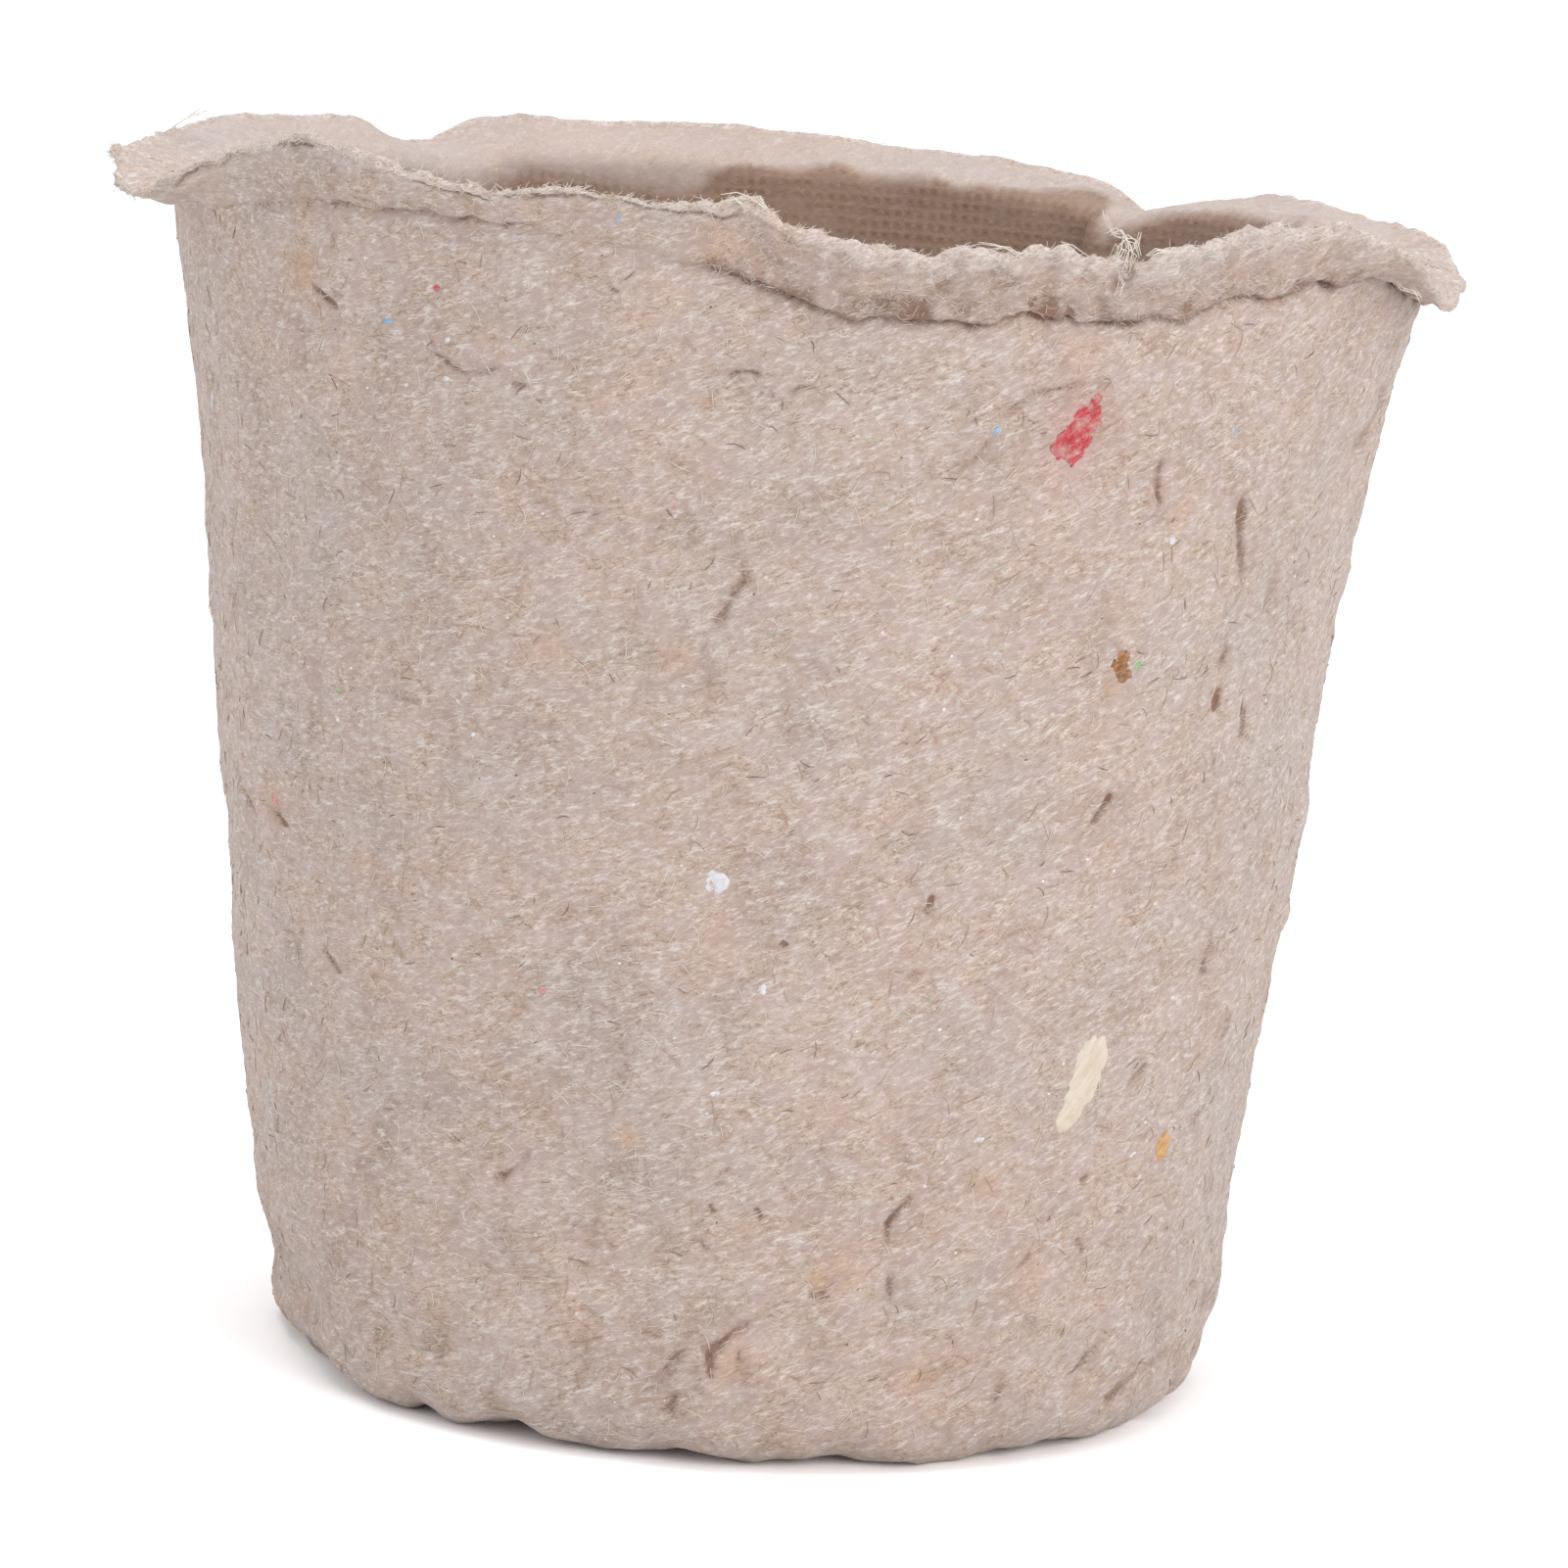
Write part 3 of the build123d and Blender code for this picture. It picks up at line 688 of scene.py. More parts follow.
crack = {
    "depthShare": 0.42,
    "frayReach": 0.5,          # mm past 8 half widths, as far as it shapes the pulp
    "closing": 0.22,           # it closes over this share of its length at either end
    "lift": 2.5,               # one side is raised by this many times the lift in its row,
    "liftFade": (2.4, 0.3),    # which fades over this many half widths and mm
    "coreShare": 0.9,          # how wide its dark core is, as a share of its half width
    "haze": 0.22,              # how much painted shade and brown the pulp beside it gets
}


def pressCracks(turn, height, points, onFace, push, shade):
    # presses the cracks and creases into the relief, and paints them brown and with shade
    for path, width, depth, lift, dark in allCreases():
        near = nearPath(turn, height, path, 8 * width + crack["frayReach"])
        near = near[onFace[near]]
        distance, along, side = pathDistance(turn[near], height[near], path)
        # a crack's sides are frayed, and it closes towards its ends
        here = points[near]
        distance = np.abs(distance + uneven("crackSidesFine", here) + uneven("crackSides", here))
        fade = smoothStep(np.minimum(along, 1 - along) / crack["closing"] + 0.2)
        fade = fade * (0.75 + uneven("crackFade", here))
        push[near] -= crack["depthShare"] * depth * np.exp(-(distance / width) ** 2) * fade
        halfWidths, more = crack["liftFade"]
        away = np.exp(-distance / (halfWidths * width + more)) * (1 - np.exp(-(distance / width) ** 2))
        push[near] += lift * crack["lift"] * away * np.clip(side, 0, 1) * fade
        core = np.exp(-(distance / (crack["coreShare"] * width)) ** 2)
        # its dark is partly the crack's own brown and partly painted shade
        tone = dark * (core + crack["haze"] * away) * fade
        shade[near] = np.maximum(shade[near], tone)


def lapLip(turn, walk, points, push, shade):
    # laps the lip over the wall, and paints the joint and the lip's underside with shade and brown
    ends = stretchEnds()
    over = roundTable(ledge, 1, turn)
    dark = np.clip(roundTable(ledge, 2, turn), 0, 1)
    past = walk - ends["wall"][1] + uneven("joint", points) + uneven("jointFine", points)
    lap = np.where(past > 0, np.exp(-past / joint["lapFade"]) * smoothStep(past / joint["lapRise"]), 0)
    broken = joint["whole"] + joint["broken"] * smoothStep(0.5 + uneven("jointBreaks", points))
    notch = np.exp(-(past / joint["notchHalfWidth"]) ** 2) * broken
    nearLip = (walk > ends["wall"][1] - 6) & (walk < ends["under"][1] + 0.5)
    lapped = push + over * joint["lapGain"] * lap * broken - joint["notchDepth"] * dark * notch
    push = np.where(nearLip, lapped, push)
    tone, fade = joint["shadeAndBrownOver"]
    # painted shade at the joint and on the lip's underside, which faces down, with brown patches
    shadedBrown = np.exp(-((past + 0.05) / joint["shadeHalfWidth"]) ** 2) * broken
    shadedBrown += np.where(past > 0, tone * np.exp(-past / fade), 0)
    tone, fade = joint["shadeAndBrownPatches"]
    patches = np.clip(uneven("shadeAndBrownPatches", points), 0, 1)
    shadedBrown += np.where(past > 0, tone * patches * np.exp(-past / fade), 0)
    tone = dark * shadedBrown * (0.75 + uneven("jointTone", points))
    return push, np.maximum(shade, np.where(nearLip, tone, 0))


def splitLip(turn, walk, points, push, shade):
    # splits the lip's sheet along its edge, and paints shade in the split
    ends = stretchEnds()
    split = walk - ends["under"][1] + lipSplit["below"] + uneven("splitLine", points)
    nearTurn = smoothStep((lipSplit["halfTurns"] - np.abs(turn - lipSplit["turn"])) / lipSplit["fadeTurns"])
    splitPart = lipSplit["elsewhere"] + (1 - lipSplit["elsewhere"]) * nearTurn
    whole = smoothStep(0.5 + uneven("splitBreaks", points))
    split = np.exp(-(split / lipSplit["halfWidth"]) ** 2) * whole * splitPart
    nearEdge = (walk > ends["under"][1] - 1.5) & (walk < ends["edge"][1])
    push = np.where(nearEdge, push - lipSplit["depth"] * split, push)
    return push, np.maximum(shade, np.where(nearEdge, lipSplit["tone"] * split, 0))


def reliefAt(turn, walk, points, height):
    # how far the skin stands out from its plain shape, how dark its creases are,
    # and how near it is to the torn edge of the lip
    # the shade it returns is brown and painted shade in creases, joints, splits, pits and hollows
    ends = stretchEnds()
    outside = (walk > ends["bottom"][1] - 0.01) & (walk < ends["under"][1])
    onFace = (walk > ends["bottom"][1]) & (walk < ends["edge"][1])
    inside = walk > ends["inner"][0]
    push = uneven("broad", points) + uneven("middling", points)
    lumps, crumbs = uneven("lumps", points), uneven("crumbs", points)
    push += np.where(outside, *relief["lumps"]) * lumps
    # the pulp is flaky near the foot
    low = np.where(onFace, smoothStep((relief["flakyBelow"] - height) / relief["flakyFade"]), 0)
    push += low * relief["flakes"] * (0.35 - np.abs(uneven("footFlakes", points * (1, 1, 0.7))))
    push += np.where(outside, *relief["crumbs"]) * crumbs
    # its hollows get a little painted shade
    hollows = np.clip(-0.7 * lumps - 0.5 * crumbs - 0.12, 0, 0.4)
    shade = np.where(onFace, hollows * (0.55 + 0.45 * low), 0)
    pressCracks(turn, height, points, onFace, push, shade)
    for pixel, wide, tall, amount in swells:
        across, up = fromSpot(pixel, turn, height)
        swell = amount * np.exp(-(across / wide) ** 2 - (up / tall) ** 2)
        # the wall keeps its thickness, so its inside follows
        push += np.where(onFace, swell, 0) - np.where(inside, swell / relief["insideShare"], 0)
    push, shade = lapLip(turn, walk, points, push, shade)
    push, shade = splitLip(turn, walk, points, push, shade)
    # the lip is coarse, and its edge is torn
    lipPart = smoothStep((walk - ends["wall"][1]) / 1.5) * smoothStep((ends["top"][1] - walk) / 3)
    torn = smoothStep((walk - ends["edge"][0] + 1.2) / 1.2) * smoothStep((ends["edge"][1] + 0.8 - walk) / 1.2)
    tattered = smoothStep(1.2 - np.abs((turn - tatter["turn"]) / tatter["halfTurns"]))
    rough = roughAt(turn)
    face = np.where(walk < ends["under"][1], 1.5 + 0.5 * tattered, 1.0)
    flaky = uneven("lipFlakes", points)
    flakes = (tatter["flakes"][0] + tatter["flakes"][1] * tattered) * flaky
    push += lipPart * rough * face * (tatter["lumps"] * uneven("lipLumps", points) + flakes)
    # the pits between the flakes get painted shade
    pits = np.clip(-flaky - 0.15, 0, 0.4) * lipPart * (tatter["pits"][0] + tatter["pits"][1] * tattered)
    shade = np.maximum(shade, np.where(walk < ends["under"][1], pits, 0))
    push += torn * rough * (uneven("tornEdge", points) + uneven("tornEdgeFine", points))
    # the bottom stays level
    push = np.where(walk < ends["bottom"][1], -np.abs(push) * relief["bottomShare"], push)
    below = smoothStep((walk - ends["throat"][0]) / 2.5)
    push = np.where(inside, push * relief["insideShare"], push) + below * foldInside(turn, height)
    return push, np.clip(shade, 0, 1), torn


# The inside is painted with shade from this far down its wall, in mm, at each turn
shadeStart = [
    (0, 0.5), (20, -0.5), (36, -1.2), (44, -1.0), (48, -0.8), (52, -0.3), (55.5, -0.2), (57.5, -3.6),
    (66, -2.6), (71, -1.7), (76, -1.4), (81, -1.6), (86, -2.7), (92, -1.3), (97, -1.2), (101, 0.2),
    (107, 0.5), (118, 0.5), (124, 0.2), (150, 1.0), (190, 2.0), (230, 1.5), (300, 1.0),
]

# The fold down the inside of the back rim: its turn, how far the wall beside it is pushed in,
# over how many degrees that fades, and the height at which it starts and how fast it grows
innerFold = {"turn": 57.5, "depth": 2.0, "width": 7.0, "foot": 58.0, "growth": 8}


def foldInside(turn, height):
    past = turnFrom(innerFold["turn"], turn)
    rise = smoothStep((height - innerFold["foot"]) / innerFold["growth"])
    bulge = np.where(past > 0, np.exp(-past / innerFold["width"]) * smoothStep(past / 1.0), 0)
    return bulge * innerFold["depth"] * rise


def stainAt(turn, height, points):
    # how strongly the pulp is stained
    stain = np.clip(uneven("stainPatches", points) - 0.55, 0, 0.4)
    rough = 1 + uneven("stainEdge", points)
    for pixel, radius in stains:
        across, up = fromSpot(pixel, turn, height)
        stain = np.maximum(stain, np.exp(-(across ** 2 + up ** 2) / (radius * rough) ** 2))
    return stain


def blushAt(turn, height):
    # how strongly the dye of the red scrap has run into the pulp round it
    across, up = fromSpot(blush["pixel"], turn, height)
    return np.exp(-(across / blush["wide"]) ** 2 - (up / blush["tall"]) ** 2)


def footLift(turn, height):
    # how far the foot's edge is pulled up where it is notched
    lift = np.zeros_like(turn)
    low = smoothStep((6 - height) / 6)
    for x, y, wide, tall in footNotches:
        across = np.radians(turnFrom(turn, onWall((x, y))[0])) * pot["footRadius"]
        lift += tall * np.exp(-(across / wide) ** 2)
    lift += 0.30 * np.clip(uneven("footEdge", ringAt(turn, pot["footRadius"])), 0, 1)
    return lift * low


def rowWalks():
    # the distance along the skin of each row of the flat grid
    walks = [0.0]
    for stretch in stretches.values():
        start, rows = walks[-1], stretch["rows"]
        walks += [start + stretch["length"] * (i + 1) / rows for i in range(rows)]
    return walks


def halveEdges(bm, wanted):
    # halves every edge whose two ends are wanted
    flags = {v: w for v, w in zip(bm.verts, wanted)}
    edges = [e for e in bm.edges if flags[e.verts[0]] and flags[e.verts[1]]]
    bmesh.ops.subdivide_edges(bm, edges=edges, cuts=1, use_grid_fill=True)


def buildShell():
    walks = rowWalks()
    rows = len(walks) - 1
    ends = stretchEnds()
    bm = bmesh.new()
    bmesh.ops.create_grid(bm, x_segments=skin["columns"], y_segments=rows, size=0.5)

    def unrolled():
        flat = np.array([v.co for v in bm.verts])
        turn = skin["seamTurn"] + 360 * (flat[:, 0] + 0.5)
        return turn, np.interp((flat[:, 1] + 0.5) * rows, np.arange(rows + 1), walks)

    turn, walk = unrolled()
    seen = (turn % 360 > skin["fineTurns"][0]) & (turn % 360 < skin["fineTurns"][1])
    outer = (walk > ends["foot"][0] - 0.01) & (walk < ends["top"][1] + 0.01)
    halveEdges(bm, outer & (seen | (walk > ends["wall"][1] - skin["lipReach"])))
    first, last = skin["fineTurns"]
    for reach, wanted in ((skin["creaseReach"], skin["creaseTone"]), (skin["crackReach"], skin["crackTone"])):
        turn, walk = unrolled()
        height = skinPlace(turn, walk)[1]
        onFace = (walk > ends["foot"][0]) & (walk < ends["edge"][1])
        near = np.zeros(len(turn), bool)
        for crease in allCreases():
            path, dark = crease[0], crease[-1]
            if dark > wanted and first - 1 < path[0][0] < last + 1:
                close = nearPath(turn, height, path, reach)
                close = close[onFace[close]]
                near[close] |= pathDistance(turn[close], height[close], path)[0] < reach
        lapped = roundTable(ledge, 2, turn) > skin["ledgeTone"]
        near |= lapped & (np.abs(walk - ends["wall"][1]) < reach)
        if reach == skin["creaseReach"]:
            near |= (walk > ends["edge"][0] - 0.8) & (walk < ends["edge"][1] + 0.3)
        halveEdges(bm, near)
        turn, walk = unrolled()
        deep = walk - ends["inner"][0]
        left, right = skin["insideTurns"]
        high, low = skin["insideDepths"]
        halveEdges(bm, (turn % 360 > left) & (turn % 360 < right) & (deep > high) & (deep < low))

    turn, walk = unrolled()
    radius, height = skinPlace(turn, walk)
    points = np.stack((radius * np.cos(np.radians(turn)), radius * np.sin(np.radians(turn)), height), 1)
    turnLayer = bm.verts.layers.float.new("turn")
    walkLayer = bm.verts.layers.float.new("walk")
    for v, p, t, w in zip(bm.verts, points, turn, walk):
        v.co = p
        v[turnLayer] = t % 360
        v[walkLayer] = w
    bmesh.ops.remove_doubles(bm, verts=bm.verts, dist=skin["weld"])
    bmesh.ops.recalc_face_normals(bm, faces=bm.faces)
    bm.normal_update()

    points = np.array([v.co for v in bm.verts])
    turn = np.array([v[turnLayer] for v in bm.verts])
    walk = np.array([v[walkLayer] for v in bm.verts])
    push, shade, torn = reliefAt(turn, walk, points, points[:, 2])
    outer = walk < ends["under"][1]
    lift = np.where(outer, footLift(turn, points[:, 2]), 0) * smoothStep(walk / 20 - 0.2)
    for v, amount, rise in zip(bm.verts, push, lift):
        v.co += v.normal * float(amount)
        v.co.z = max(v.co.z + float(rise), 0)
    marks = {
        # brown and painted shade of the creases, the lip's joint and the hollows
        "crease": shade,
        "stain": stainAt(turn, points[:, 2], points),
        "torn": torn,
        # how far down the inside the point lies, past the start of its painted shade
        "inside": np.clip(walk - ends["inner"][0] - roundTable(shadeStart, 1, turn), -4, 4),
        "blush": blushAt(turn, points[:, 2]),
        "calm": smoothStep((walk - ends["edge"][1]) / 1.0) * smoothStep(np.sin(np.radians(turn)) * 2.5),
    }
    return bm, marks


def addPiece(name, bm, material, nodes=(), marks=None):
    # makes a mesh object of a bmesh in mm, and gives it its marks, material and body
    bmesh.ops.scale(bm, vec=(mm, mm, mm), verts=bm.verts)
    mesh = bpy.data.meshes.new(name)
    bm.to_mesh(mesh)
    bm.free()
    for mark, values in (marks or {}).items():
        layer = mesh.attributes.new(mark, "FLOAT", "POINT")
        layer.data.foreach_set("value", np.asarray(values, np.float32))
    for layout in ("turn", "walk"):
        if layout in mesh.attributes:
            mesh.attributes.remove(mesh.attributes[layout])
    mesh.shade_smooth()
    mesh.materials.append(material)
    piece = bpy.data.objects.new(name, mesh)
    bpy.context.collection.objects.link(piece)
    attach(piece, "root")
    if nodes:
        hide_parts(*nodes)
    print(name, "has", len(mesh.polygons), "faces")


# Materials
def paint(hexCode):
    # an sRGB hex colour, as the linear colour that a shader takes
    parts = [int(hexCode[i:i + 2], 16) / 255 for i in (1, 3, 5)]
    return [p / 12.92 if p <= 0.04045 else ((p + 0.055) / 1.055) ** 2.4 for p in parts] + [1]


def addNode(tree, kind, sockets=None, **settings):
    # adds a node with its settings. A socket gets a value, or is fed by another socket,
    # or by the first output in use of another node.
    node = tree.nodes.new("ShaderNode" + kind)
    for name, value in settings.items():
        setattr(node, name, value)
    for name, source in (sockets or {}).items():
        if isinstance(source, bpy.types.Node):
            source = next(output for output in source.outputs if output.enabled)
        if isinstance(source, bpy.types.NodeSocket):
            tree.links.new(source, node.inputs[name])
        else:
            node.inputs[name].default_value = source
    return node


def newMaterial(name):
    material = bpy.data.materials.new(name)
    material.use_nodes = True
    material.node_tree.nodes.clear()
    return material, material.node_tree


def addPlace(tree, size, turned=(0, 0, 0), moved=0.0):
    # the place on the object, measured in steps of size, in mm, along turned axes
    where = addNode(tree, "TexCoord").outputs["Object"]
    return addNode(tree, "Mapping", {"Vector": where, "Location": [moved * mm] * 3,
                                     "Scale": [s * mm for s in size],
                                     "Rotation": [math.radians(a) for a in turned]}, vector_type="TEXTURE")


def addNoise(tree, size, detail=2.0, rough=0.55, turned=(0, 0, 0), bend=0.0):
    # cloudy noise whose lumps are about as wide as size, in mm, along turned axes
    where = addPlace(tree, size, turned)
    return addNode(tree, "TexNoise", {"Vector": where, "Scale": 1.0, "Detail": detail, "Roughness": rough,
                                      "Distortion": bend})


def addLine(tree, size, turned, width):
    # thin wandering lines: where stretched noise crosses its middle value
    lines = addNoise(tree, (size[0], size[0], size[1]), 1.0, 0.5, turned, 0.4)
    off = addNode(tree, "Math", {0: lines, 1: 0.5}, operation="SUBTRACT")
    off = addNode(tree, "Math", {0: off}, operation="ABSOLUTE")
    return addNode(tree, "MapRange", {"Value": off, "From Min": width, "From Max": width * 0.2})


def addSpecks(tree, size, widest, share, moved=0.0, turned=(0, 0, 0)):
    # spots of uneven size, one in each cell that the share picks; also the cell's own random number
    cell = addNode(tree, "TexVoronoi", {"Vector": addPlace(tree, size, turned, moved), "Scale": 1.0})
    draw = addNode(tree, "SeparateColor", {"Color": cell.outputs["Color"]})
    reach = addNode(tree, "MapRange", {"Value": draw.outputs[1], "To Min": 0.35})
    reach = addNode(tree, "Math", {0: reach, 1: widest}, operation="MULTIPLY")
    spot = addNode(tree, "Math", {0: cell.outputs["Distance"], 1: reach}, operation="SUBTRACT")
    spot = addNode(tree, "MapRange", {"Value": spot, "From Min": 0.0, "From Max": -0.4 * widest})
    picked = addNode(tree, "MapRange", {"Value": draw.outputs[0], "From Min": share,
                                        "From Max": share - 0.01})
    return addNode(tree, "Math", {0: spot, 1: picked}, operation="MULTIPLY"), draw.outputs[2]


def layOver(tree, under, over, pattern, low, high, start=0.0, end=1.0, within=None, kind="MIX"):
    # lays one colour over another. Its share runs from start to end as the pattern goes
    # from low to high, and a mask may lessen it.
    share = addNode(tree, "MapRange", {"Value": pattern, "From Min": low, "From Max": high,
                                       "To Min": start, "To Max": end})
    if within is not None:
        share = addNode(tree, "Math", {0: within, 1: share}, operation="MULTIPLY")
    return addNode(tree, "Mix", {0: share, 6: under, 7: over}, data_type="RGBA", blend_type=kind)


def endMaterial(material, colour, normal, roughness, specular, sheen):
    tree = material.node_tree
    shader = addNode(tree, "BsdfPrincipled", {"Base Color": colour, "Normal": normal, "Roughness": roughness,
                                              "Specular IOR Level": specular, "Sheen Weight": sheen,
                                              "Sheen Roughness": 0.5})
    addNode(tree, "OutputMaterial", {"Surface": shader})
    return material


pulpLook = {
    "ground": "#C7B4A9",       # greyish beige of recycled paper and peat
    "tan": "#D2B297",
    "pink": "#C6AAA3",
    "grey": "#B9AEA8",
    "pressed": "#C4B8B4",
    "paleFibre": "#EDE4DE",
    "darkFibre": "#83695C",
    "creaseShadeBrown": "#7B5136",
    "blush": "#D08C84",
    "stain": "#D2A47C",
    # painted shade for the inside of the pot
    "paintedInnerShade": "#D3C4B6",    # the inside is this much darker
    "roughness": 0.95,
    "specular": 0.12,
    "sheen": 0.22,
    "grainDepth": 0.035,       # mm
    "lumpDepth": 0.10,
    "screenPitch": 0.79,       # mm, print of the forming screen on the inside, at the mouth
    "screenDepth": 0.03,
    # painted shade in the hollows of the screen's print
    "screenHollowShade": "#8F7A6A",   # the hollows between its ridges are this much darker,
    "screenShade": 0.27,       # at this strength
    # noise: how wide its lumps are in mm, its detail and roughness, and how it is turned in degrees
    "patterns": {
        "patch": ((2.2, 2.2, 1.6), 3.0, 0.6),
        "cloud": ((0.75, 0.75, 0.36), 2.0, 0.6, (0, -22, 0)),
        "grain": ((0.34, 0.34, 0.11), 2.0, 0.6, (0, -25, 0)),
        "blotch": ((12, 12, 9), 3.0, 0.6),
        "drift": ((4.5, 4.5, 6.5), 2.0, 0.6, (20, 0, 0)),
        "wander": ((3.5, 3.5, 3.5), 2.0, 0.5),
    },
    # colours laid over each other: the noise that each follows, the two values of it between
    # which its share changes, and that share at either
    "broadTints": (("tan", "patch", 0.35, 0.65, 0.0, 1.0), ("grey", "blotch", 0.55, 0.35, 0.15, 0.65)),
    "driftTints": (("paleFibre", "drift", 0.50, 0.75, 0.0, 0.08),
                   ("darkFibre", "drift", 0.50, 0.25, 0.0, 0.12)),
    "fineTints": (("paleFibre", "cloud", 0.52, 0.80, 0.0, 0.14),
                  ("darkFibre", "cloud", 0.48, 0.22, 0.0, 0.17),
                  ("paleFibre", "grain", 0.50, 0.72, 0.0, 0.24),
                  ("darkFibre", "grain", 0.50, 0.28, 0.0, 0.27)),
    "groundShare": 0.38,
    # thin fibres lying in the face: their length and spacing in mm, how they are turned in
    # degrees, their width as a share, and how strongly they show. They are drawn as coarse
    # as they need to be to show.
    "paleFibres": (((1.9, 0.30), (10, -20, 0), 0.040, 0.55), ((1.4, 0.28), (-12, -38, 20), 0.036, 0.46),
                   ((1.3, 0.30), (5, 6, -15), 0.034, 0.36)),
    "darkFibres": (((1.3, 0.34), (0, -28, 30), 0.034, 0.50), ((0.9, 0.34), (20, 55, 10), 0.030, 0.34)),
    # wrinkles where the felt shrank, with painted shade in their furrows: the same for them
    "wrinkles": (((5.0, 3.4), (0, -70, 0), 0.040, 0.10), ((3.4, 2.2), (15, -25, 10), 0.040, 0.12)),
    "wrinkleDepth": 0.10,
    # specks of waste: their spacing in mm, radius as a share of it, the share of cells that have
    # one, a shift and a turn
    "whiteSpecks": ((1.5, 1.5, 1.1), 0.105, 0.36, 0.0, (0, -25, 0)),
    "white": "#F6F2EF",
    "darkSpecks": ((1.7, 1.7, 1.1), 0.080, 0.34, 5.3, (0, -40, 0)),
    "dark": "#5A453A",
    "dyedSpecks": ((5.5, 5.5, 4.0), 0.050, 0.62, 2.9),
    "dyes": ("#C97F66", "#C98A84", "#8FA9C4", "#8FB58A"),  # rust, pink, blue and green
    # what has soaked in: the colour, the mark on the mesh that says where, and as for the tints
    "soaked": (("stain", "stain", "cloud", 0.3, 0.7, 0.10, 0.55),
               ("blush", "blush", "cloud", 0.3, 0.7, 0.10, 0.60),
               ("paleFibre", "torn", "grain", 0.4, 0.6, 0.05, 0.40)),
}


def pulpMaterial():
    # peat and paper pulp, felted on a wire screen and dried: a dull beige mat of short pale
    # and dark fibres, mottled pink, tan and grey, with specks of waste and brown creases
    look = pulpLook
    material, tree = newMaterial("feltedPeatPulp")
    noises = {name: addNoise(tree, *shape) for name, shape in look["patterns"].items()}
    marks = {name: addNode(tree, "Attribute", attribute_name=name).outputs["Fac"]
             for name in ("crease", "stain", "torn", "inside", "blush", "calm")}
    brown = paint(look["creaseShadeBrown"])

    def tinted(colour, tints):
        for tint, noiseName, *shares in tints:
            colour = layOver(tree, colour, paint(look[tint]), noises[noiseName], *shares)
        return colour

    colour = tinted(paint(look["pink"]), look["broadTints"])
    colour = addNode(tree, "Mix", {0: look["groundShare"], 6: colour, 7: paint(look["ground"])},
                     data_type="RGBA")
    plain = tinted(colour, look["driftTints"])
    colour = tinted(plain, look["fineTints"])
    furrows = 0.0
    for size, turned, width, strength in look["wrinkles"]:
        line = addLine(tree, size, turned, width)
        furrow = addNode(tree, "MapRange", {"Value": noises["drift"], "From Min": 0.52, "From Max": 0.36,
                                            "To Max": strength})
        furrow = addNode(tree, "Math", {0: line, 1: furrow}, operation="MULTIPLY")
        # painted shade in the furrow
        colour = addNode(tree, "Mix", {0: furrow, 6: colour, 7: brown}, data_type="RGBA")
        furrows = addNode(tree, "Math", {0: furrow, 1: furrows}, operation="ADD")
    for kind, tint, breaks in (("darkFibres", "darkFibre", "patch"), ("paleFibres", "paleFibre", "cloud")):
        for size, turned, width, strength in look[kind]:
            line = addLine(tree, size, turned, width)
            colour = layOver(tree, colour, paint(look[tint]), noises[breaks], 0.42, 0.60, 0.0, strength, line)
    for kind, tint, strength in (("whiteSpecks", "white", 1.0), ("darkSpecks", "dark", 0.8)):
        spots = addSpecks(tree, *look[kind])[0]
        spots = addNode(tree, "Math", {0: spots, 1: strength}, operation="MULTIPLY")
        colour = addNode(tree, "Mix", {0: spots, 6: colour, 7: paint(look[tint])}, data_type="RGBA")
    # waste dyes: mostly rust and pink, some blue, some green
    spots, hue = addSpecks(tree, *look["dyedSpecks"])
    rust, pink, blue, green = (paint(dye) for dye in look["dyes"])
    warm = layOver(tree, rust, pink, hue, 0.30, 0.31)
    cool = layOver(tree, blue, green, hue, 0.85, 0.86)
    dyes = layOver(tree, warm, cool, hue, 0.66, 0.67)
    spots = addNode(tree, "Math", {0: spots, 1: 0.75}, operation="MULTIPLY")
    colour = addNode(tree, "Mix", {0: spots, 6: colour, 7: dyes}, data_type="RGBA")
    for tint, mark, noiseName, *shares in look["soaked"]:
        colour = layOver(tree, colour, paint(look[tint]), noises[noiseName], *shares, marks[mark])

    # the back of the lip and the inside are pressed smooth
    pressed = addNode(tree, "Mix", {0: 0.45, 6: plain, 7: paint(look["pressed"])}, data_type="RGBA")
    smooth = addNode(tree, "Math", {0: marks["calm"], 1: 0.62}, operation="MULTIPLY")
    colour = addNode(tree, "Mix", {0: smooth, 6: colour, 7: pressed}, data_type="RGBA")
    # a crease is faintly brown and darkened with painted shade, with a thin ragged core
    ragged = addNode(tree, "MapRange", {"Value": noises["grain"], "From Min": 0.3, "From Max": 0.7,
                                        "To Min": -0.26, "To Max": 0.26})
    ragged = addNode(tree, "Math", {0: marks["crease"], 1: ragged}, operation="ADD")
    core = addNode(tree, "MapRange", {"Value": ragged, "From Min": 0.46, "From Max": 0.80, "To Max": 0.48})
    colour = layOver(tree, colour, brown, ragged, 0.05, 0.90, 0.0, 0.52)
    colour = addNode(tree, "Mix", {0: core, 6: colour, 7: brown}, data_type="RGBA")
    # painted shade: the wall inside is darker below a wandering line
    inside = addNode(tree, "MapRange", {"Value": noises["wander"], "From Min": 0.25, "From Max": 0.75,
                                        "To Min": -0.7, "To Max": 0.7})
    inside = addNode(tree, "Math", {0: marks["inside"], 1: inside}, operation="ADD")
    inside = addNode(tree, "MapRange", {"Value": inside, "From Min": -0.4, "From Max": 0.9})
    colour = addNode(tree, "Mix", {0: inside, 6: colour, 7: paint(look["paintedInnerShade"])}, data_type="RGBA",
                     blend_type="MULTIPLY")

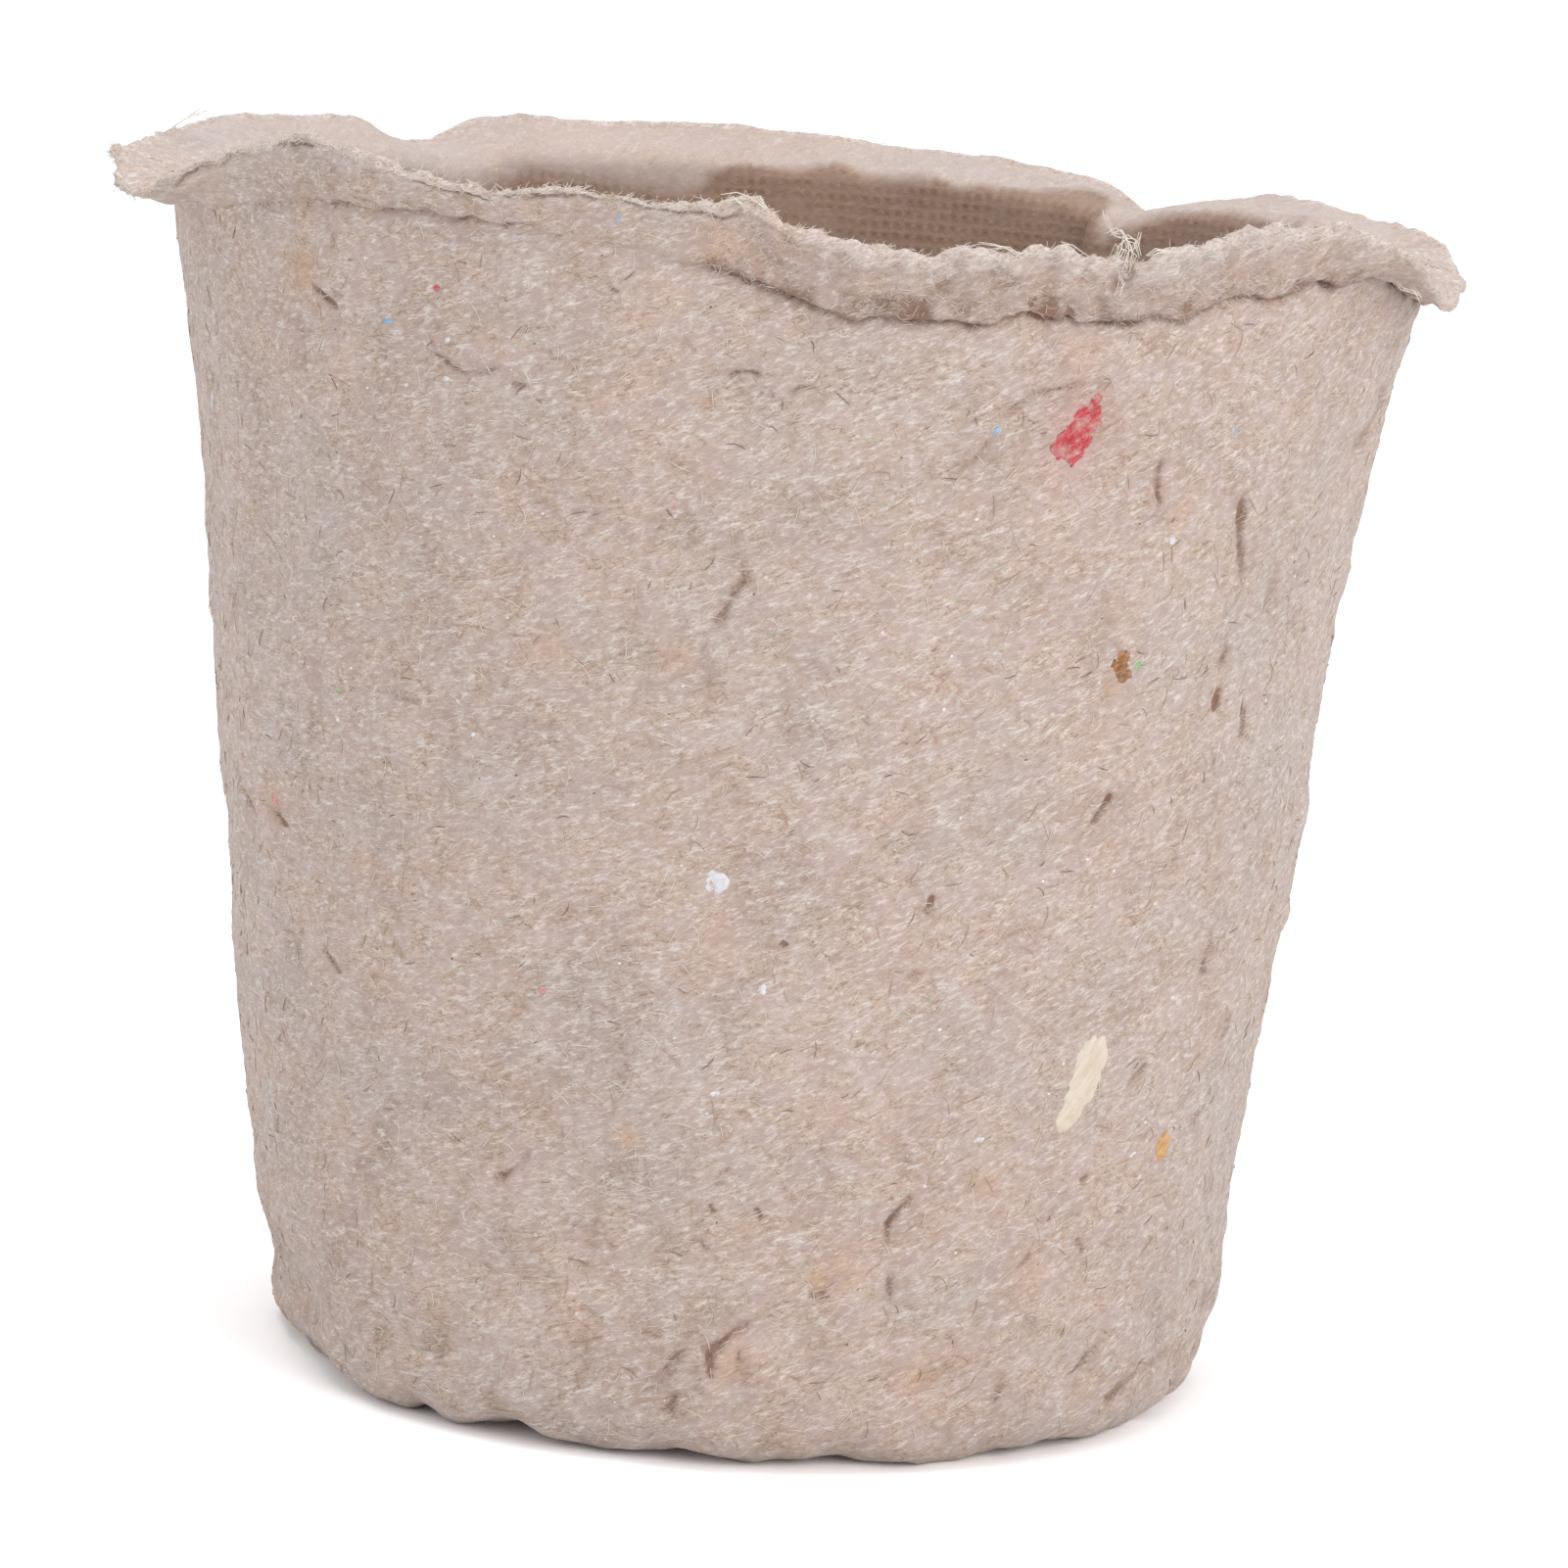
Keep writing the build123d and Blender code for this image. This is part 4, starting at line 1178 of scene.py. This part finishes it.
    # the screen's print: a weave of fine ridges round and up the inside
    turns = round(math.tau * (pot["mouthRadius"] - pot["wall"]) / look["screenPitch"])
    where = addNode(tree, "TexCoord").outputs["Object"]
    x, y, z = addNode(tree, "SeparateXYZ", {"Vector": where}).outputs
    warp = addNode(tree, "Math", {0: y, 1: x}, operation="ARCTAN2")
    warp = addNode(tree, "Math", {0: warp, 1: turns}, operation="MULTIPLY")
    warp = addNode(tree, "Math", {0: warp}, operation="SINE")
    weft = addNode(tree, "Math", {0: z, 1: math.tau / (look["screenPitch"] * mm)}, operation="MULTIPLY")
    weft = addNode(tree, "Math", {0: weft}, operation="SINE")
    # its upright ridges show the most, and they are pressed deeper in some places than in others
    ridges = addNode(tree, "Math", {0: warp, 1: 1.4}, operation="MULTIPLY")
    ridges = addNode(tree, "Math", {0: ridges, 1: weft}, operation="ADD")
    pressing = inside
    for noiseName, low, high, least in (("patch", 0.30, 0.55, 0.3), ("wander", 0.38, 0.58, 0.25)):
        share = addNode(tree, "MapRange", {"Value": noises[noiseName], "From Min": low, "From Max": high,
                                           "To Min": least})
        pressing = addNode(tree, "Math", {0: pressing, 1: share}, operation="MULTIPLY")
    # painted shade in the hollows of the screen's print, strongest where the inside's painted shade is
    colour = layOver(tree, colour, paint(look["screenHollowShade"]), ridges, 1.4, -1.8, 0.0, look["screenShade"],
                     pressing, "MULTIPLY")
    weave = addNode(tree, "Math", {0: warp, 1: weft}, operation="MAXIMUM")
    weave = addNode(tree, "Math", {0: weave, 1: inside}, operation="MULTIPLY")
    pressing = addNode(tree, "MapRange", {"Value": noises["patch"], "From Min": 0.35, "From Max": 0.60})
    weave = addNode(tree, "Math", {0: weave, 1: pressing}, operation="MULTIPLY")

    # relief too fine for the mesh
    grain = addNode(tree, "Math", {0: noises["cloud"], 1: 2.0}, operation="MULTIPLY")
    grain = addNode(tree, "Math", {0: grain, 1: noises["grain"]}, operation="ADD")
    smooth = addNode(tree, "MapRange", {"Value": marks["calm"], "To Min": 1.0, "To Max": 0.35})
    grain = addNode(tree, "Math", {0: grain, 1: smooth}, operation="MULTIPLY")
    hollow = addNode(tree, "Math", {0: core, 1: 1.5}, operation="MULTIPLY")
    hollow = addNode(tree, "Math", {0: hollow, 1: furrows}, operation="ADD")
    hollow = addNode(tree, "Math", {0: 1.0, 1: hollow}, operation="SUBTRACT")
    bump = addNode(tree, "Bump", {"Height": grain, "Distance": look["grainDepth"] * mm})
    for height, depth in ((noises["patch"], "lumpDepth"), (hollow, "wrinkleDepth"), (weave, "screenDepth")):
        bump = addNode(tree, "Bump", {"Height": height, "Distance": look[depth] * mm, "Normal": bump})
    return endMaterial(material, colour, bump, look["roughness"], look["specular"], look["sheen"])


# Scraps of waste in the face of the pulp. A flake has the pixel at its middle, its length and
# width in mm, and its lean in degrees. Pulp fibres cover the given share of it.
scraps = {
    "redPaperScrap": {  # tissue dyed red, flat and matt, half felted over
        "node": "red_paper_scrap", "slot": "red_paper", "material": "dyedRedTissue",
        "colours": ("#BB3B43", "#CC6264"), "grain": (0.5, 0.5, 0.3), "covered": 0.42, "thick": 0.30,
        "rough": 0.24,
        "flakes": [((1094, 453), 2.8, 2.4, 40), ((1108, 432), 2.6, 2.2, 60), ((1118, 411), 1.4, 0.7, 70),
                   ((446, 294), 0.50, 0.42, 0)],
    },
    "barkFlake": {  # bark half rotted, warm brown and uneven
        "node": "brown_bark_flake", "slot": "bark", "material": "rottedBark",
        "colours": ("#B27C4C", "#7C5238"), "grain": (0.6, 0.6, 0.4), "covered": 0.14, "thick": 0.26,
        "flakes": [((1145, 677), 1.6, 1.2, 80), ((1148, 690), 1.3, 1.0, 10)],
    },
    "woodChip": {  # a sliver of bare wood, pale and finely grained
        "node": "cream_wood_chip", "slot": "pale_wood", "material": "bareWoodSliver",
        "colours": ("#E9DBCC", "#DCC9B2"), "grain": (1.8, 1.8, 0.25), "covered": 0.22, "thick": 0.34,
        "rough": 0.16,
        "flakes": [((1112, 1086), 3.8, 2.6, 70), ((1105, 1108), 3.6, 2.5, 64), ((1093, 1136), 2.8, 1.7, 55)],
    },
    "seedHusk": {  # a dry husk, orange tan and mottled
        "node": "amber_seed_husk", "slot": "seed_husk", "material": "drySeedHusk",
        "colours": ("#DDB27E", "#C9955B"), "grain": (0.6, 0.6, 0.2), "covered": 0.18, "thick": 0.26,
        "rough": 0.2,
        "flakes": [((1187, 1171), 2.1, 1.4, 75)],
    },
    "whiteFlecks": {  # bleached paper, pale and a little cool
        "node": "white_paper_flecks", "slot": "white_paper", "material": "bleachedPaper",
        "colours": ("#E9E8EC", "#D9D6DA"), "grain": (0.3, 0.3, 0.2), "covered": 0.40, "thick": 0.16,
        "rough": 0.24,
        "flakes": [((732, 902), 1.5, 1.2, 20), ((727, 893), 0.7, 0.5, 80), ((780, 1010), 0.8, 0.5, 70),
                   ((730, 1117), 0.6, 0.4, 10), ((1197, 552), 0.7, 0.5, 80), ((299, 632), 0.5, 0.4, 0),
                   ((365, 617), 0.4, 0.3, 0), ((345, 735), 0.35, 0.3, 0), ((416, 393), 0.5, 0.35, 30),
                   ((457, 347), 0.35, 0.3, 0), ((456, 387), 0.45, 0.35, 0), ((1157, 1179), 0.6, 0.45, 20),
                   ((427, 700), 0.30, 0.25, 0), ((467, 716), 0.30, 0.25, 0), ((483, 750), 0.35, 0.25, 40),
                   ((508, 498), 0.30, 0.25, 0), ((217, 410), 1.6, 0.35, 85), ((1000, 1165), 0.8, 0.5, 10)],
    },
    "blueFlecks": {  # paper dyed blue, faded by the felt over it
        "node": "blue_paper_flecks", "slot": "blue_paper", "material": "dyedBluePaper",
        "colours": ("#8BA4CB", "#A3C0D8"), "grain": (0.3, 0.3, 0.2), "covered": 0.25, "thick": 0.16,
        "flakes": [((1018, 440), 0.75, 0.5, 60), ((1262, 440), 0.6, 0.4, 60), ((396, 328), 0.7, 0.4, 10),
                   ((632, 223), 0.6, 0.35, 60), ((953, 282), 0.6, 0.45, 30)],
    },
    "greenFlecks": {  # paper dyed green, faded in the same way
        "node": "green_paper_flecks", "slot": "green_paper", "material": "dyedGreenPaper",
        "colours": ("#7FB56E", "#9CC48C"), "grain": (0.3, 0.3, 0.2), "covered": 0.25, "thick": 0.16,
        "flakes": [((1162, 679), 0.6, 0.45, 30), ((345, 707), 0.5, 0.3, 0)],
    },
    "pinkFlecks": {  # paper dyed pink, close to the pulp's own tone
        "node": "pink_paper_flecks", "slot": "pink_paper", "material": "dyedPinkPaper",
        "colours": ("#DDA3A4", "#C98886"), "grain": (0.3, 0.3, 0.2), "covered": 0.45, "thick": 0.16,
        "flakes": [((553, 1012), 0.7, 0.5, 20), ((281, 820), 1.4, 0.6, 120), ((1320, 806), 0.7, 0.4, 60)],
    },
}
flake = {
    "roughShare": 0.34,   # how far its outline wanders
    "ripple": 0.12,       # mm
    "rippleSize": 0.45,
    "sink": 0.03,         # mm that its edge lies under the face
    "bigFrom": 1.5,       # a flake longer than this has finer faces
    "fuzz": (1.1, 1.1, 0.8),   # mm, the patches in which fibres lie over it
    "fuzzDepth": 0.05,
    "fuzzShare": 0.85,
    "fibreShare": 0.16,
}
dull = (0.9, 0.15, 0.1)   # roughness, specular and sheen of dry paper, wood and fibre


def hitAt(tree, pixel):
    # where a pixel's line of sight meets the shell
    place, normal = tree.ray_cast(*pixelRay(pixel))[:2]
    return place, normal


def addFlake(bm, tree, middle, normal, longest, widest, lean, thick, rough, seed):
    # a thin irregular flake that follows the shell, with its edge sunk in the pulp
    east = Vector((0, 0, 1)).cross(normal).normalized()
    north = normal.cross(east)
    turned = math.radians(lean)
    along = east * math.cos(turned) + north * math.sin(turned)
    across = normal.cross(along)
    finer = 4 if longest > flake["bigFrom"] else 3
    made = bmesh.ops.create_icosphere(bm, subdivisions=finer, radius=1)["verts"]
    for v in made:
        ring = Vector((v.co.x, v.co.y, 0))
        wander = 1 + rough * (noise.noise(ring.normalized() * 1.3 + Vector((seed, 0, 3)))
                              + 0.8 * noise.noise(ring.normalized() * 4 + Vector((seed, 7, 0))))
        start = middle + (along * ring.x * longest + across * ring.y * widest) * wander / 2 + normal * 2
        place, face = tree.ray_cast(start, -normal)[:2]
        ripple = flake["ripple"] * noise.noise(place / flake["rippleSize"] + Vector((seed, seed, 0)))
        v.co = place + face * (v.co.z * thick / 2 - flake["sink"] + ripple)


def scrapMaterial(look):
    # a scrap of paper, bark, wood or husk: its own two-toned grain, with pulp fibres dried over it
    material, tree = newMaterial(look["material"])
    grain = addNoise(tree, look["grain"], 3.0, 0.6, (0, -60, 0))
    fuzz = addNoise(tree, flake["fuzz"], 4.0, 0.7, (0, -35, 0))
    first, second = (paint(colour) for colour in look["colours"])
    colour = layOver(tree, first, second, grain, 0.35, 0.65)
    # fibres lie over it in patches
    low = 0.5 + 0.5 * (0.5 - look["covered"])
    ground = paint(pulpLook["ground"])
    colour = layOver(tree, colour, ground, fuzz, low - 0.04, low + 0.16, 0.0, flake["fuzzShare"])
    for size, turned, width in (fibre[:3] for fibre in pulpLook["paleFibres"][:2]):
        line = addLine(tree, size, turned, width)
        line = addNode(tree, "Math", {0: line, 1: flake["fibreShare"]}, operation="MULTIPLY")
        pale = paint(pulpLook["paleFibre"])
        colour = addNode(tree, "Mix", {0: line, 6: colour, 7: pale}, data_type="RGBA")
    bump = addNode(tree, "Bump", {"Height": fuzz, "Distance": flake["fuzzDepth"] * mm})
    return endMaterial(material, colour, bump, *dull)


def addScraps(tree):
    seed = 0
    for name, look in scraps.items():
        bm = bmesh.new()
        for pixel, longest, widest, lean in look["flakes"]:
            seed += 1
            middle, normal = hitAt(tree, pixel)
            rough = look.get("rough", flake["roughShare"])
            addFlake(bm, tree, middle, normal, longest, widest, lean, look["thick"], rough, seed)
        bmesh.ops.recalc_face_normals(bm, faces=bm.faces)
        addPiece(name, bm, scrapMaterial(look), [look["node"]])


# Loose fibres that lie on the face, or stand off its torn edges. Lengths and radii are in mm.
# They are drawn as coarse as they need to be to show.
strand = {
    "points": 5,
    "sink": 0.02,          # its ends lie this far in the pulp
    "weld": 1e-5,
    "mottle": 0.9,         # how long its pale and dark stretches are
    "grain": 0.1,
    "grainDepth": 0.01,
}
looseFibres = {
    "paleFibres": {"count": 5000, "length": (0.7, 2.6), "radius": 0.027, "colours": ("#EDE3DA", "#D6C4B4"),
                   "material": "looseBleachedFibre", "seed": 3},
    "tanFibres": {"count": 1500, "length": (0.6, 2.2), "radius": 0.030, "colours": ("#BFA188", "#CDB49E"),
                  "material": "looseKraftFibre", "seed": 4},
    "darkFibres": {"count": 620, "length": (0.4, 1.5), "radius": 0.028, "colours": ("#86695A", "#9C8272"),
                   "material": "loosePeatFibre", "seed": 5},
}
fringe = {
    "radius": 0.019,
    "shortest": 0.4,
    "material": "frayedRimFibre",
    "seed": 8,
    # the part of the skin and the turns that it grows from, its number and longest length
    "rows": [
        ("edge", 0, 360, 500, 0.8),
        ("edge", 176, 268, 1300, 1.0),
        ("edge", 262, 300, 500, 0.8),
        ("edge", 300, 335, 260, 1.0),
        ("under", 262, 318, 500, 1.3),
    ],
}
# Tufts of torn fibre at the rim
tuft = {
    "radius": 0.038,
    "strands": 3,          # to each path, so that it reads as a torn shred
    "apart": 0.10,
    "astray": 0.09,
    "deep": 0.3,           # how far they wander to and from the camera
    "material": "tornRimTuft",
    "colours": ("#F7EEE5", "#E9DACB"),
    "seed": 21,
}
# Their paths of pixels, each group after the root pixel that it stands over
tuftPaths = [
    ((1150, 274), [[(1126, 216), (1129, 226), (1135, 237), (1146, 243), (1152, 250), (1157, 262),
                    (1150, 278)],
                   [(1133, 237), (1142, 233), (1150, 240), (1150, 255), (1143, 275)],
                   [(1164, 236), (1160, 246), (1153, 256), (1152, 272)],
                   [(1144, 253), (1152, 244), (1160, 250), (1166, 264)],
                   [(1136, 262), (1143, 250), (1149, 256), (1141, 268), (1134, 276)],
                   [(1170, 264), (1180, 256), (1194, 258)],
                   [(1108, 270), (1122, 262), (1136, 268), (1148, 286), (1143, 300)],
                   [(1083, 249), (1095, 252), (1106, 262), (1120, 268)]]),
    ((1040, 262), [[(1000, 249), (1015, 250), (1030, 255), (1043, 262)],
                   [(1010, 256), (1024, 253), (1040, 259)]]),
    ((770, 216), [[(742, 203), (755, 198), (768, 203), (781, 213)],
                  [(758, 207), (775, 202), (785, 217)],
                  [(735, 208), (748, 204), (762, 211)]]),
    ((180, 140), [[(170, 135), (178, 126), (187, 121)], [(190, 122), (200, 117), (213, 114)]]),
    ((150, 180), [[(135, 188), (150, 196), (163, 190)], [(118, 176), (128, 187), (140, 186)]]),
    ((1450, 290), [[(1438, 286), (1446, 298), (1452, 307)], [(1420, 280), (1432, 296), (1447, 300)]]),
]


def newCurve(radius):
    curve = bpy.data.curves.new("strands", "CURVE")
    curve.dimensions = "3D"
    curve.bevel_depth = radius
    curve.bevel_resolution = 0
    curve.use_fill_caps = True
    return curve


def addStrand(curve, points, thin=0.45):
    # one strand through the points, thinner at its ends
    spline = curve.splines.new("POLY")
    spline.points.add(len(points) - 1)
    last = len(points) - 1
    for i, point in enumerate(points):
        spline.points[i].co = (*point, 1)
        spline.points[i].radius = thin + (1 - thin) * math.sin(math.pi * i / last)


def layStrand(curve, tree, start, heading, length, bend, lift):
    # a strand that lies along the shell, with its ends in the pulp
    points = []
    last = strand["points"] - 1
    if tree.find_nearest(start)[1].z > 0.3 and start.y > 0:
        return  # none show on the back of the lip, which is pressed smooth
    for i in range(strand["points"]):
        place, normal = tree.find_nearest(start)[:2]
        points.append(place + normal * (lift * math.sin(math.pi * i / last) - strand["sink"]))
        heading = (heading - normal * heading.dot(normal)).normalized()
        heading = Matrix.Rotation(bend / last, 3, normal) @ heading
        start = place + heading * length / last
    addStrand(curve, points)


def flyStrand(curve, start, heading, length, rand):
    # a strand that stands off and curls
    points = [start - heading * 0.15]
    steps = strand["points"] - 1
    for i in range(steps):
        points.append(points[-1] + heading * length / steps)
        heading = (heading + Vector([rand.uniform(-0.6, 0.6) for axis in range(3)])).normalized()
    addStrand(curve, points, 0.6)


def addStrandPiece(name, curve, look):
    # turns the strands into a mesh of their own
    thing = bpy.data.objects.new(name, curve)
    bpy.context.collection.objects.link(thing)
    shape = thing.evaluated_get(bpy.context.evaluated_depsgraph_get())
    mesh = bpy.data.meshes.new_from_object(shape)
    bpy.data.objects.remove(thing)
    bm = bmesh.new()
    bm.from_mesh(mesh)
    bpy.data.meshes.remove(mesh)
    # the caps at a strand's ends are joined to its sides
    bmesh.ops.remove_doubles(bm, verts=bm.verts, dist=strand["weld"])
    bmesh.ops.recalc_face_normals(bm, faces=bm.faces)
    # dry fibre: dull, and unevenly bleached along its length
    material, tree = newMaterial(look["material"])
    first, second = (paint(colour) for colour in look["colours"])
    colour = layOver(tree, first, second, addNoise(tree, [strand["mottle"]] * 3), 0.4, 0.6)
    grain = addNoise(tree, [strand["grain"]] * 3)
    bump = addNode(tree, "Bump", {"Height": grain, "Distance": strand["grainDepth"] * mm})
    addPiece(name, bm, endMaterial(material, colour, bump, *dull))


def addLooseFibres(tree):
    top = pot["mouthHeight"] + 5
    for name, look in looseFibres.items():
        rand = random.Random(look["seed"])
        curve = newCurve(look["radius"])
        for n in range(look["count"]):
            turn, height = rand.uniform(0, math.tau), rand.uniform(0.5, top)
            out = Vector((math.cos(turn), math.sin(turn), 0))
            start = out * wallRadius(height) + Vector((0, 0, height))
            east = Vector((-math.sin(turn), math.cos(turn), 0))
            slope = math.radians(rand.gauss(20, 38))
            heading = east * math.cos(slope) + Vector((0, 0, math.sin(slope)))
            length = rand.uniform(*look["length"])
            layStrand(curve, tree, start, heading, length, rand.gauss(0, 0.9), rand.uniform(0.02, 0.10))
        addStrandPiece(name, curve, look)


def addFringe(tree):
    rand = random.Random(fringe["seed"])
    curve = newCurve(fringe["radius"])
    ends = stretchEnds()
    for stretch, first, last, count, longest in fringe["rows"]:
        turns = np.array([rand.uniform(first, last) for n in range(count)])
        walks = np.array([rand.uniform(*ends[stretch]) for n in range(count)])
        radius, height = skinPlace(turns, walks)
        lift = np.radians(roundTable(rim, 2, turns))
        for turn, r, h, a in zip(np.radians(turns), radius, height, lift):
            out = Vector((math.cos(turn), math.sin(turn), 0))
            start = tree.find_nearest(out * r + Vector((0, 0, h)))[0]
            heading = (out * math.cos(a) + Vector((0, 0, math.sin(a)))) * rand.uniform(-0.1, 0.35)
            heading += Vector((-out.y, out.x, 0.1)) * rand.choice((-1, 1, 1))
            heading += Vector([rand.uniform(-0.4, 0.4) for axis in range(3)])
            if stretch == "under":
                heading += out - Vector((0, 0, 0.5))
            flyStrand(curve, start, heading.normalized(), rand.uniform(fringe["shortest"], longest), rand)
    addStrandPiece("rimFringe", curve, looseFibres["paleFibres"] | fringe)


def addTufts(tree):
    curve = newCurve(tuft["radius"])
    rand = random.Random(tuft["seed"])
    forward = cameraAxes()[3]
    for root, paths in tuftPaths:
        anchor = hitAt(tree, root)[0]
        if anchor is None:
            anchor = tree.find_nearest(pixelRay(root)[0] + pixelRay(root)[1] * camera["distance"])[0]
        for path in paths * tuft["strands"]:
            aside = Vector([rand.gauss(0, tuft["apart"]) for axis in range(3)])
            points = []
            for pixel in path:
                place, sight = pixelRay(pixel)
                depth = (anchor - place).dot(forward) / sight.dot(forward)
                astray = Vector([rand.gauss(0, tuft["astray"]) for axis in range(3)])
                deeper = forward * rand.uniform(-tuft["deep"], tuft["deep"])
                points.append(place + sight * depth + deeper + aside + astray)
            addStrand(curve, points, 0.55)
    addStrandPiece("rimTufts", curve, tuft)


# Floor, backdrop and light
studio = {
    "worldLight": 0.68,
    "worldColour": (0.93, 0.965, 1.0, 1),
    "backdrop": 1.0,
    "floorSide": 6.0,          # metres
    "floorColour": "#EDEDED",
    "floorShown": 1.42,        # how bright the camera sees it
    "lamps": {                 # place in mm, side in mm, power in watts
        "front": ((820, -900, 600), 900, 6.6),
        "left": ((-1100, -500, 450), 900, 1.6),
        "above": ((-100, 0, 1300), 900, 6.4),
    },
}


def seenDirectly(tree, *rays):
    # 1 for what the eye sees by one of these kinds of ray, and 0 for what only lights the pot
    path = addNode(tree, "LightPath").outputs
    seen = path[rays[0]]
    for ray in rays[1:]:
        seen = addNode(tree, "Math", {0: seen, 1: path[ray]}, operation="MAXIMUM")
    return seen


def addFloor():
    bm = bmesh.new()
    bmesh.ops.create_grid(bm, x_segments=1, y_segments=1, size=studio["floorSide"] / 2)
    mesh = bpy.data.meshes.new("floor")
    bm.to_mesh(mesh)
    bm.free()
    floor = bpy.data.objects.new("floor", mesh)
    bpy.context.collection.objects.link(floor)
    # matt paper: white to the camera, with soft shadows
    material, tree = newMaterial("palePaperSweep")
    tone = addNode(tree, "Mix", {0: seenDirectly(tree, "Is Camera Ray", "Is Glossy Ray"),
                                 6: paint(studio["floorColour"]), 7: [studio["floorShown"]] * 3 + [1]},
                   data_type="RGBA")
    matt = addNode(tree, "BsdfDiffuse", {"Color": tone})
    addNode(tree, "OutputMaterial", {"Surface": matt})
    mesh.materials.append(material)


def addLight():
    world = bpy.data.worlds.new("studio")
    bpy.context.scene.world = world
    world.use_nodes = True
    tree = world.node_tree
    tree.nodes.clear()
    seen = seenDirectly(tree, "Is Camera Ray", "Is Glossy Ray", "Is Transmission Ray")
    soft = addNode(tree, "Background", {"Color": studio["worldColour"], "Strength": studio["worldLight"]})
    white = addNode(tree, "Background", {"Color": [1, 1, 1, 1], "Strength": studio["backdrop"]})
    both = addNode(tree, "MixShader", {0: seen, 1: soft, 2: white})
    addNode(tree, "OutputWorld", {"Surface": both})
    for name, (place, side, power) in studio["lamps"].items():
        data = bpy.data.lights.new(name, "AREA")
        data.shape = "SQUARE"
        data.size = side * mm
        data.energy = power
        lamp = bpy.data.objects.new(name, data)
        lamp.location = Vector(place) * mm
        aim = Vector((0, 0, camera["aimHeight"] * mm)) - lamp.location
        lamp.rotation_euler = aim.to_track_quat("-Z", "Y").to_euler()
        bpy.context.collection.objects.link(lamp)


addCamera()
addFloor()
addLight()
bpy.context.scene.view_settings.view_transform = "Standard"
print("camera, floor and light are in place")

pulp = pulpMaterial()
shellMesh, shellMarks = buildShell()
shellTree = BVHTree.FromBMesh(shellMesh)
addPiece("pulpShell", shellMesh, pulp, ["pot_shell"], shellMarks)
addScraps(shellTree)
addLooseFibres(shellTree)
addFringe(shellTree)
addTufts(shellTree)
